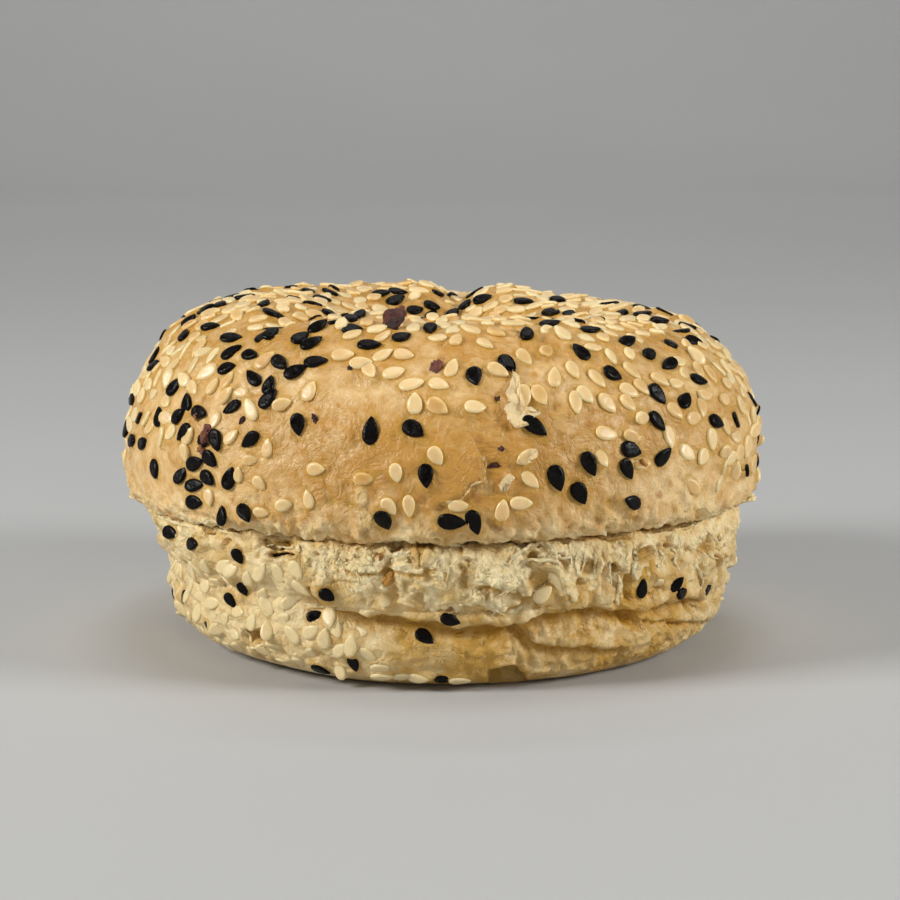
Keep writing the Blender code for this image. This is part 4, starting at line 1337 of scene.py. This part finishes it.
class SeedBed:
    """The seeds laid so far, each clear enough of the rest."""

    def __init__(self, surface):
        """An empty bed on the dough's surface."""
        self.surface = surface
        self.places = []
        self.seeds = {"white": [], "black": []}
        self.draw = np.random.default_rng(5)

    def is_clear(self, point, gap):
        """Whether a place has no seed within a gap."""
        return all((point - other).length > gap for other in self.places)

    def lay(self, kind, point, normal, ahead, sink, tone, tilt, size):
        """Lays a seed on the dough: sunk in by a share of its thickness, and leaning on those below it."""
        draw = self.draw
        crowd = sum((point - other).length < CROWDED for other in self.places)
        up = normal.normalized()
        along = (ahead - up * ahead.dot(up)).normalized()
        across = up.cross(along)
        lean = draw.normal(0.0, tilt) + 0.05 * min(crowd, 3)
        roll = draw.normal(0.0, tilt)
        along = (along * math.cos(lean) + up * math.sin(lean)).normalized()
        upright = along.cross(across)
        up = upright.normalized() * -1 if upright.dot(up) < 0 else upright
        up = (up * math.cos(roll) + across * math.sin(roll)).normalized()
        across = up.cross(along).normalized()
        length = SEED_LENGTH * size * draw.uniform(0.9, 1.08)
        width = SEED_WIDTH * size * draw.uniform(0.88, 1.06)
        thickness = SEED_THICKNESS * draw.uniform(0.85, 1.15)
        middle = point + normal.normalized() * (thickness * (0.42 - sink) + 0.22 * MM * min(crowd, 2))
        low = 0.5 * (abs(along.z) * length + abs(across.z) * width + abs(up.z) * thickness)
        middle.z = max(middle.z, low)
        self.seeds[kind].append((middle, along * length, across * width, up * thickness, tone, sink))
        self.places.append(point)

    def mesh(self, kind, rings, sides, taper):
        """All seeds of a kind as one mesh: points, faces and marks."""
        shape, shape_faces, shape_rim = drop_shape(rings, sides, taper)
        points, faces, tones, rims, covers = [], [], [], [], []
        for index, (middle, along, across, up, tone, sink) in enumerate(self.seeds[kind]):
            axes = np.array((along, across, up))
            points.append(shape @ axes + np.array(middle))
            offset = index * len(shape)
            faces += [tuple(corner_index + offset for corner_index in face) for face in shape_faces]
            tones.append(np.full(len(shape), tone))
            rims.append(shape_rim)
            covers.append(np.full(len(shape), smooth(*COVERED_SINK, sink)))
        marks = {"tone": tones, "rim": rims, "covered": covers}
        marks = {name: np.concatenate(parts) for name, parts in marks.items()}
        return np.concatenate(points), faces, marks


def seen_size(across, down):
    """How large the seeds are about a place in the picture: smaller towards the top and the sides."""
    away = smooth(*SMALLER_AWAY, abs(across - LARGEST_COLUMN))
    return 1.0 - SMALLER_BY * max(away, smooth(*SMALLER_ROWS, down))


def lay_seen_seeds(bed):
    """The seeds that show on the front, each where it lies."""
    for across, down, heading in BLACK_SEEDS:
        point, normal, ahead = laid_on(bed.surface, (across, down), heading)
        covered = smooth(*COVERED_ROWS, down)
        size = (BLACK_SIZE - 0.22 * covered) * seen_size(across, down)
        sink = 0.05 + 0.25 * covered
        bed.lay("black", point, normal, ahead, sink, bed.draw.random(), CROWN_TILT, size)
    for across, down, heading, toast in WHITE_SEEDS:
        point, normal, ahead = laid_on(bed.surface, (across, down), heading)
        low = smooth(*DEEPER_ROWS, down)
        size = (WHITE_SIZE - 0.10 * low) * seen_size(across, down)
        tone = LEAST_TOAST + (1.0 - LEAST_TOAST) * toast
        bed.lay("white", point, normal, ahead, 0.12 + 0.12 * low, tone, CROWN_TILT, size)
    for across, down, heading in SUNK_SEEDS:
        point, normal, ahead = laid_on(bed.surface, (across, down), heading)
        bed.lay("white", point, normal, ahead, SUNK_SINK, 0.3 * bed.draw.random(), BODY_TILT, 0.9)


def grid_middles(grid):
    """The middle and area of each face of a ring's grid."""
    around, down = np.roll(grid, -1, 0), np.roll(grid, -1, 1)
    middles = 0.25 * (grid + around + down + np.roll(grid, (-1, -1), (0, 1)))
    areas = np.linalg.norm(np.cross(around - grid, down - grid), axis=2)
    return middles.reshape(-1, 3), areas.ravel()


def zone_cover(points, zones):
    """The most that any zone of the picture gives at each point."""
    across, down = picture_of(points).T
    covers = [amount * smooth(*columns, across) * smooth(*rows, down) for amount, columns, rows in zones]
    return np.max(covers, axis=0)


def seed_cover(points, normals, kind):
    """How thickly seeds lie besides those placed one by one on the front, from 0 to 1."""
    turn = np.arctan2(points[:, 1], points[:, 0]) % math.tau
    radius = np.hypot(points[:, 0], points[:, 1])
    height = points[:, 2]
    away = points - np.array(CAMERA_PLACE)
    facing = np.sum(away * normals, axis=1) / np.linalg.norm(away, axis=1)
    seen = 1.0 - smooth(-0.03, 0.03, facing)
    shown, low_shown = 0.0, 0.0
    if kind == "white":
        shown, low_shown = zone_cover(points, CROWN_COVER), zone_cover(points, BODY_COVER)
    uneven = np.clip(0.6 + 1.1 * lattice_noise(points, 13.0 * MM, 80), 0.05, 1.4)
    side_on = 0.35 + 0.65 * smooth(24.0 * MM, 40.0 * MM, height)
    crown = smooth(23.5 * MM, 25.5 * MM, height) * smooth(9.0 * MM, 15.0 * MM, radius)
    crown = crown * (seen * shown + (1.0 - seen) * side_on * uneven)
    low = (height < torn_foot(turn) - 0.8 * MM) * smooth(2.0 * MM, 3.5 * MM, height) * (radius > 30.0 * MM)
    seen = np.maximum(seen, points[:, 1] < -FRONT_HALF)
    whole = body_marks(points, normals)[1] < 0.25
    low = low * (seen * low_shown + (1.0 - seen) * 0.6 * uneven) * whole
    return np.clip(crown + low, 0.0, None)


def scatter_seeds(bed, crown, body):
    """Scatters the rest of the seeds over the crown and the body."""
    for kind, where, count, gap in SCATTER:
        on_body = where == "body"
        grid = body if on_body else crown
        middles, areas = grid_middles(grid)
        normals = grid_normals(grid).reshape(-1, 3)
        chance = areas * seed_cover(middles, normals, kind)
        picks = bed.draw.choice(len(chance), size=count * 12, p=chance / chance.sum())
        laid = 0
        for pick in picks:
            point, normal, _, _ = bed.surface.find_nearest(Vector(middles[pick]))
            if not bed.is_clear(point, gap * MM):
                continue
            ahead = across_normal(normal, bed.draw.uniform(0.0, math.tau))
            sink = bed.draw.uniform(*(BODY_SINK if on_body else CROWN_SINK))
            tone = 0.35 * bed.draw.random() if on_body else bed.draw.beta(1.8, 3.0)
            size = bed.draw.uniform(0.8, 1.0)
            bed.lay(kind, point, normal, ahead, sink, tone, BODY_TILT if on_body else CROWN_TILT, size)
            laid += 1
            if laid == count:
                break


def seat_seeds(points, bed):
    """How far the dough moves so that each seed is well seated in it, and the painted shadow and browning
    round it.
    """
    move = np.zeros(points.shape)
    halo = np.zeros(len(points))
    order = np.argsort(points[:, 0])
    sorted_x = points[order, 0]
    for seeds in bed.seeds.values():
        for middle, along, across, up, _, sink in seeds:
            near = order[slice(*np.searchsorted(sorted_x, (middle.x - SEAT_AREA, middle.x + SEAT_AREA)))]
            offset = points[near] - np.array(middle)
            close = np.abs(offset).max(axis=1) < SEAT_AREA
            near, offset = near[close], offset[close]
            thickness = up.length
            run = 2.0 * offset @ np.array(along) / along.length ** 2
            wide = 2.0 * offset @ np.array(across) / across.length ** 2
            tall = offset @ np.array(up) / thickness
            far = np.sqrt(run ** 2 + wide ** 2)
            beside = np.abs(tall) < SEAT_REACH
            hold = (1.0 - smooth(1.0, 1.5, far)) * beside
            deep = SEAT_SINK * sink
            seat = np.clip(tall, (SEAT_LOW + deep) * thickness, (SEAT_HIGH + deep) * thickness)
            shift = hold * (seat - tall) + COLLAR * bell(far - 1.35, 0.22) * beside
            # The ring round each seed: partly real browning, partly painted contact shadow, faint where the
            # seed is covered.
            seed_ring_shade_and_browning = 1.0 - 0.75 * smooth(*COVERED_SINK, sink)
            halo[near] = np.maximum(halo[near], seed_ring_shade_and_browning * beside * bell(far - 1.12, 0.26))
            fuller = np.abs(shift) > np.linalg.norm(move[near], axis=1)
            move[near[fuller]] = shift[fuller, None] * np.array(up) / thickness
    return move, halo


# ---- Materials ----

def add_node(tree, kind, inputs=(), **settings):
    """A node with its settings, and its inputs linked to a socket or set to a value."""
    node = tree.nodes.new(kind)
    for name, value in settings.items():
        setattr(node, name, value)
    for name, value in dict(inputs).items():
        if isinstance(value, bpy.types.NodeSocket):
            tree.links.new(value, node.inputs[name])
        else:
            node.inputs[name].default_value = value
    return node


def mix_colours(tree, factor, first, second):
    """A mix of two colours, each a value or a socket."""
    inputs = {0: factor, 6: first, 7: second}
    return add_node(tree, "ShaderNodeMix", inputs, data_type="RGBA").outputs[2]


def do_math(tree, operation, first, second=0.0, clamp=False):
    """The result of an operation on two values, each a number or a socket."""
    inputs = {0: first, 1: second}
    return add_node(tree, "ShaderNodeMath", inputs, operation=operation, use_clamp=clamp).outputs[0]


def times(tree, first, second, clamp=False):
    """The product of two values."""
    return do_math(tree, "MULTIPLY", first, second, clamp)


def plus(tree, first, second, clamp=False):
    """The sum of two values."""
    return do_math(tree, "ADD", first, second, clamp)


def swing(tree, pattern, amount):
    """A pattern from 0 to 1 turned into a swing to both sides of 0."""
    return times(tree, do_math(tree, "SUBTRACT", pattern, 0.5), amount)


def ramp(tree, value, low, high):
    """0 below low, 1 above high."""
    inputs = {"Value": value, "From Min": low, "From Max": high}
    return add_node(tree, "ShaderNodeMapRange", inputs).outputs[0]


def mark(tree, name):
    """A value kept at each point of the mesh."""
    return add_node(tree, "ShaderNodeAttribute", attribute_name=name).outputs["Fac"]


def place_on_object(tree):
    """Where a point of the surface lies on its object."""
    return add_node(tree, "ShaderNodeTexCoord").outputs["Object"]


def add_noise(tree, place, scale, detail, roughness=0.5, distortion=0.0):
    """A noise texture."""
    names = ("Vector", "Scale", "Detail", "Roughness", "Distortion")
    return add_node(tree, "ShaderNodeTexNoise", zip(names, (place, scale, detail, roughness, distortion)))


def add_cells(tree, place, scale):
    """A texture of rounded cells."""
    return add_node(tree, "ShaderNodeTexVoronoi", {"Vector": place, "Scale": scale})


def new_group(name, inputs, outputs):
    """An empty shader node group with named inputs and outputs: the group, what it is given, its result."""
    group = bpy.data.node_groups.new(name, "ShaderNodeTree")
    for socket, value in inputs.items():
        made = group.interface.new_socket(socket, in_out="INPUT", socket_type="NodeSocketFloat")
        made.default_value = value
    for socket in outputs:
        group.interface.new_socket(socket, in_out="OUTPUT", socket_type="NodeSocketFloat")
    return group, group.nodes.new("NodeGroupInput").outputs, group.nodes.new("NodeGroupOutput").inputs


def make_speckle_group():
    """Mottled browning: broad patches, finer mottling and small round toasted specks."""
    group, given, result = new_group(
        "toasted_speckle", {"Patch Scale": 140.0, "Speck Scale": 500.0, "Speck Amount": 0.2},
        ("Patches", "Mottle", "Specks"),
    )
    place = place_on_object(group)
    patches = add_noise(group, place, given["Patch Scale"], 4.0, 0.6)
    mottle = add_noise(group, place, times(group, given["Patch Scale"], 4.3), 4.0, 0.65, 0.6)
    specks = add_cells(group, place, given["Speck Scale"])
    chosen = add_node(group, "ShaderNodeSeparateColor", {"Color": specks.outputs["Color"]}).outputs[0]
    chosen = do_math(group, "LESS_THAN", chosen, given["Speck Amount"])
    round_specks = times(group, ramp(group, specks.outputs["Distance"], 0.34, 0.16), chosen)
    group.links.new(ramp(group, patches.outputs[0], 0.3, 0.7), result["Patches"])
    group.links.new(ramp(group, mottle.outputs[0], 0.3, 0.7), result["Mottle"])
    group.links.new(round_specks, result["Specks"])
    return group


def make_grain_group():
    """The fine grain of baked dough: pores and fibres, as a height."""
    group, given, result = new_group(
        "dough_grain", {"Grain Scale": 1300.0, "Pore Scale": 900.0, "Pore Depth": 0.5}, ("Height",),
    )
    place = place_on_object(group)
    grain = add_noise(group, place, given["Grain Scale"], 5.0, 0.65)
    pores = add_cells(group, place, given["Pore Scale"])
    wells = times(group, ramp(group, pores.outputs["Distance"], 0.0, 0.45), given["Pore Depth"])
    wrinkles = add_noise(group, place, times(group, given["Grain Scale"], 0.45), 2.0, distortion=1.2)
    ridge = do_math(group, "ABSOLUTE", do_math(group, "SUBTRACT", wrinkles.outputs[0], 0.5))
    ridge = times(group, ramp(group, ridge, 0.0, 0.09), 0.33)
    group.links.new(plus(group, plus(group, grain.outputs[0], wells), ridge), result["Height"])
    return group


def make_crumb_group():
    """Torn crumb: torn bubbles of two sizes with ragged walls, as a height and as a shade in the bubbles."""
    group, given, result = new_group(
        "torn_bubbles", {"Bubble Scale": 900.0, "Wall Scale": 2200.0}, ("Height", "Shade"),
    )
    place = place_on_object(group)
    ragged = add_noise(group, place, given["Bubble Scale"], 3.0)
    walls = {0: ragged.outputs["Color"], 1: (RAGGED_WALLS,) * 3, 2: place}
    bent = add_node(group, "ShaderNodeVectorMath", walls, operation="MULTIPLY_ADD").outputs[0]
    cells = add_cells(group, bent, given["Bubble Scale"])
    small_cells = add_cells(group, bent, given["Wall Scale"])
    fine = add_noise(group, place, given["Wall Scale"], 4.0, 0.7)
    height = plus(group, cells.outputs["Distance"], times(group, small_cells.outputs["Distance"], 0.5))
    height = plus(group, height, times(group, fine.outputs[0], 0.6))
    group.links.new(height, result["Height"])
    group.links.new(ramp(group, height, 0.75, 0.38), result["Shade"])
    return group


def place_group(tree, group, *values):
    """A node group placed in a material, with a value for each of its inputs: its outputs."""
    return add_node(tree, "ShaderNodeGroup", enumerate(values), node_tree=group).outputs


def new_finish(name, roughness, glow=0.0, depth=1.0 * MM):
    """A material with its shader ready, and how much light glows through it, from how deep."""
    finish = bpy.data.materials.new(name)
    finish.use_nodes = True
    shader = finish.node_tree.nodes["Principled BSDF"]
    shader.inputs["Roughness"].default_value = roughness
    shader.inputs["Subsurface Weight"].default_value = glow
    shader.inputs["Subsurface Radius"].default_value = GLOW_COLOUR
    shader.inputs["Subsurface Scale"].default_value = depth
    return finish, finish.node_tree, shader


def bump(tree, shader, height, strength, distance):
    """Bumps the shader's surface."""
    node = add_node(tree, "ShaderNodeBump", {"Height": height, "Strength": strength, "Distance": distance})
    tree.links.new(node.outputs[0], shader.inputs["Normal"])


def make_dough_finish(name, colours, groups, relief, glow):
    """Baked dough: skin pale to golden, torn crumb, and painted orange-brown shade in hollows, with browned
    stains.
    """
    pale, golden, toasted = colours
    finish, tree, shader = new_finish(name, 0.5, glow, depth=0.5 * MM)
    shader.inputs["Specular IOR Level"].default_value = DOUGH_SPECULAR
    speckle = place_group(tree, groups["speckle"], *DOUGH_SPECKLE)
    grain = place_group(tree, groups["grain"], *DOUGH_GRAIN)
    crumb_cells = place_group(tree, groups["crumb"], *CRUMB_CELLS)
    torn, hollow = mark(tree, "torn"), mark(tree, "hollow")
    mottled = plus(tree, swing(tree, speckle["Patches"], 0.5), swing(tree, speckle["Mottle"], 0.8))
    bake = plus(tree, mark(tree, "bake"), mottled, clamp=True)
    skin = mix_colours(tree, bake, pale, golden)
    skin = mix_colours(tree, times(tree, speckle["Specks"], 0.65), skin, toasted)
    crumb = mix_colours(tree, crumb_cells["Shade"], CRUMB_WHITE, CRUMB_SHADE)
    crumb = mix_colours(tree, times(tree, bake, 0.8, clamp=True), crumb, CRUMB_TAN)
    colour = mix_colours(tree, torn, skin, crumb)
    # Painted shade: hollows, creases and pores are darkened towards orange-brown, along with real browned
    # stains.
    colour = mix_colours(tree, times(tree, hollow, 0.85), colour, SHADE_AND_BROWNING_TINT)
    tree.links.new(colour, shader.inputs["Base Color"])
    rough = plus(tree, times(tree, torn, 0.4), 0.24)
    rough = plus(tree, rough, times(tree, speckle["Mottle"], 0.25), clamp=True)
    tree.links.new(rough, shader.inputs["Roughness"])
    uneven = plus(tree, times(tree, speckle["Patches"], 0.8), 0.4)
    height = times(tree, plus(tree, grain["Height"], speckle["Mottle"]), uneven)
    height = plus(tree, height, times(tree, speckle["Specks"], 0.8))
    rise = times(tree, times(tree, crumb_cells["Height"], torn), 2.2)
    bump(tree, shader, plus(tree, height, rise), relief, 0.25 * MM)
    return finish


def make_flake_finish(groups):
    """Dry husk, purple brown to toasted orange, with a papery sheen."""
    finish, tree, shader = new_finish("dry_husk", 0.6)
    speckle = place_group(tree, groups["speckle"], *HUSK_SPECKLE)
    tone = plus(tree, mark(tree, "tone"), swing(tree, speckle["Patches"], 0.4), clamp=True)
    husk = mix_colours(tree, ramp(tree, tone, 0.0, 0.5), HUSK_DARK, HUSK_PURPLE)
    colour = mix_colours(tree, ramp(tree, tone, 0.5, 1.0), husk, HUSK_ORANGE)
    tree.links.new(colour, shader.inputs["Base Color"])
    bump(tree, shader, speckle["Mottle"], 0.8, 0.3 * MM)
    return finish


def make_white_seed_finish(groups):
    """Hulled sesame: ivory to toasted, with a clear warm rim."""
    finish, tree, shader = new_finish("white_sesame", 0.32, glow=0.35, depth=0.8 * MM)
    speckle = place_group(tree, groups["speckle"], *WHITE_SPECKLE)
    tone = plus(tree, mark(tree, "tone"), swing(tree, speckle["Patches"], 0.25), clamp=True)
    body = mix_colours(tree, tone, SEED_IVORY, SEED_TOASTED)
    rim = mix_colours(tree, tone, SEED_RIM_IVORY, SEED_RIM_TOASTED)
    colour = mix_colours(tree, times(tree, mark(tree, "rim"), 0.9), body, rim)
    skin = mix_colours(tree, speckle["Mottle"], SEED_SKIN, SEED_SKIN_PALE)
    colour = mix_colours(tree, times(tree, mark(tree, "covered"), 0.9), colour, skin)
    tree.links.new(colour, shader.inputs["Base Color"])
    bump(tree, shader, speckle["Patches"], 0.3, 0.12 * MM)
    return finish


def make_black_seed_finish(groups):
    """Black sesame: charcoal hull with a fine ribbed grain and a soft sheen."""
    finish, tree, shader = new_finish("black_sesame", 0.45)
    shader.inputs["Specular IOR Level"].default_value = BLACK_SPECULAR
    speckle = place_group(tree, groups["speckle"], *BLACK_SPECKLE)
    colour = mix_colours(tree, speckle["Patches"], SEED_BLACK, SEED_GREY)
    tree.links.new(colour, shader.inputs["Base Color"])
    rough = plus(tree, times(tree, speckle["Patches"], 0.25), 0.17)
    tree.links.new(rough, shader.inputs["Roughness"])
    bump(tree, shader, speckle["Patches"], 0.5, 0.15 * MM)
    return finish


# ---- Stage ----

def make_camera():
    """The camera that the places marked PX belong to."""
    lens = bpy.data.cameras.new("camera")
    lens.sensor_width = SENSOR
    lens.lens = SENSOR * CAMERA_REACH_PX / PICTURE
    lens.clip_start = 0.01
    camera = new_object("camera", lens)
    camera.location = CAMERA_PLACE
    camera.rotation_euler = (math.pi / 2 - CAMERA_TILT, 0.0, 0.0)
    bpy.context.scene.camera = camera


def make_light(name, place, size, power, aim):
    """A soft square light that faces a place."""
    lamp = bpy.data.lights.new(name, "AREA")
    lamp.size = size
    lamp.energy = power
    light = new_object(name, lamp)
    light.location = place
    light.rotation_euler = (Vector(aim) - Vector(place)).to_track_quat("-Z", "Y").to_euler()


def make_stage():
    """A pale round floor that sweeps up into a wall all round, and soft studio light."""
    floor, tree, shader = new_finish("pale_floor", 0.8)
    cloud = add_noise(tree, place_on_object(tree), 4.0, 2.0)
    tree.links.new(mix_colours(tree, cloud.outputs[0], *FLOOR_GREYS), shader.inputs["Base Color"])
    profile = [(STAGE_RADIUS / 2, 0.0)]
    for step in range(STAGE_SWEEP_STEPS + 1):
        angle = math.pi / 2 * step / STAGE_SWEEP_STEPS
        far = STAGE_RADIUS + STAGE_SWEEP * math.sin(angle)
        profile.append((far, STAGE_SWEEP * (1.0 - math.cos(angle))))
    profile.append((STAGE_RADIUS + STAGE_SWEEP, STAGE_TALL))
    points = [(0.0, 0.0, 0.0)]
    faces = []
    for row, (far, up) in enumerate(profile):
        first = 1 + row * STAGE_SIDES
        for side in range(STAGE_SIDES):
            angle = math.tau * side / STAGE_SIDES
            points.append((far * math.cos(angle), far * math.sin(angle), up))
            here, beside = first + side, first + (side + 1) % STAGE_SIDES
            if row == 0:
                faces.append((0, here, beside))
            else:
                faces.append((here - STAGE_SIDES, here, beside, beside - STAGE_SIDES))
    new_mesh("floor", points, faces, floor)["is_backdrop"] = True

    world = bpy.data.worlds.new("studio")
    bpy.context.scene.world = world
    world.use_nodes = True
    background = world.node_tree.nodes["Background"]
    background.inputs["Color"].default_value = (1.0, 1.0, 1.0, 1.0)
    background.inputs["Strength"].default_value = WORLD_LIGHT
    for light in LIGHTS:
        make_light(*light)
    bpy.context.scene.view_settings.view_transform = "Standard"
    bpy.context.scene.view_settings.look = "None"


# ---- The bagel ----

def make_dough(finishes):
    """Crown, torn crumb and body, the seeds on them, and the relief that the seeds leave."""
    turn, band_turn = (np.arange(steps) * math.tau / steps for steps in (TURN_STEPS, BAND_TURN_STEPS))
    crown = dough_points(turn, crown_section(), 1)
    body = dough_points(turn, body_section(), 0)
    band = dough_points(band_turn, band_section(), 0)
    middle = 0.5 * (crown.reshape(-1, 3).min(0) + crown.reshape(-1, 3).max(0)) * (1.0, 1.0, 0.0)

    shapes, faces = {}, {}
    every_point, every_face = [], []
    for name, grid, relief in (
        ("crown", crown - middle, crown_relief),
        ("body", body - middle, body_relief),
        ("torn_crumb", band - middle, band_relief),
    ):
        normals = grid_normals(grid).reshape(-1, 3)
        points = grid.reshape(-1, 3)
        push, marks = relief(points, normals)
        points = points + normals * push[:, None]
        shapes[name] = (points.reshape(grid.shape), marks)
        faces[name] = ring_faces(*grid.shape[:2])
        every_face += (faces[name] + len(every_point)).tolist()
        every_point += points.tolist()
    surface = BVHTree.FromPolygons(every_point, every_face)
    bed = SeedBed(surface)
    lay_seen_seeds(bed)
    scatter_seeds(bed, shapes["crown"][0], shapes["body"][0])
    make_crumbs(surface, shapes["torn_crumb"][0], finishes)
    make_flakes(surface, finishes)

    slots = {"crown": "crust", "body": "crust", "torn_crumb": "crumb"}
    for name, (grid, marks) in shapes.items():
        points = grid.reshape(-1, 3)
        move, halo = seat_seeds(points, bed)
        points = points + move
        points[:, 2] = np.maximum(points[:, 2], 0.0)
        # The rings round the seeds join the painted shade and browning.
        marks["hollow"] = np.maximum(marks["hollow"], HALO * halo)
        piece = make_piece(name, points, faces[name].tolist(), marks, finishes[name], slots[name])
        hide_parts("bagel")
    return bed


def main():
    """Makes the finishes, the bagel, the camera and the stage."""
    groups = {"speckle": make_speckle_group(), "grain": make_grain_group(), "crumb": make_crumb_group()}
    crown_colours = (CROWN_PALE, CROWN_GOLDEN, CROWN_TOASTED)
    body_colours = (BODY_PALE, BODY_GOLDEN, BODY_TOASTED)
    finishes = {
        "crown": make_dough_finish("crown_crust", crown_colours, groups, relief=0.75, glow=0.07),
        "body": make_dough_finish("body_dough", body_colours, groups, relief=1.0, glow=0.12),
        "torn_crumb": make_dough_finish("torn_dough", body_colours, groups, relief=0.85, glow=0.22),
        "flake": make_flake_finish(groups),
    }
    bed = make_dough(finishes)
    white_finish, black_finish = make_white_seed_finish(groups), make_black_seed_finish(groups)
    make_piece("white_sesame_seeds", *bed.mesh("white", *WHITE_DROP), white_finish, "pale_seed")
    make_piece("black_sesame_seeds", *bed.mesh("black", *BLACK_DROP), black_finish, "dark_seed")
    make_camera()
    make_stage()


def write_size():
    """Works out the box of the CAD solid and the box of the finished bagel, as plain numbers."""
    boxes = {"cad": cad_box, "scene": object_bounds()}
    plain = {name: [[float(value) for value in place] for place in box] for name, box in boxes.items()}


main()
write_size()
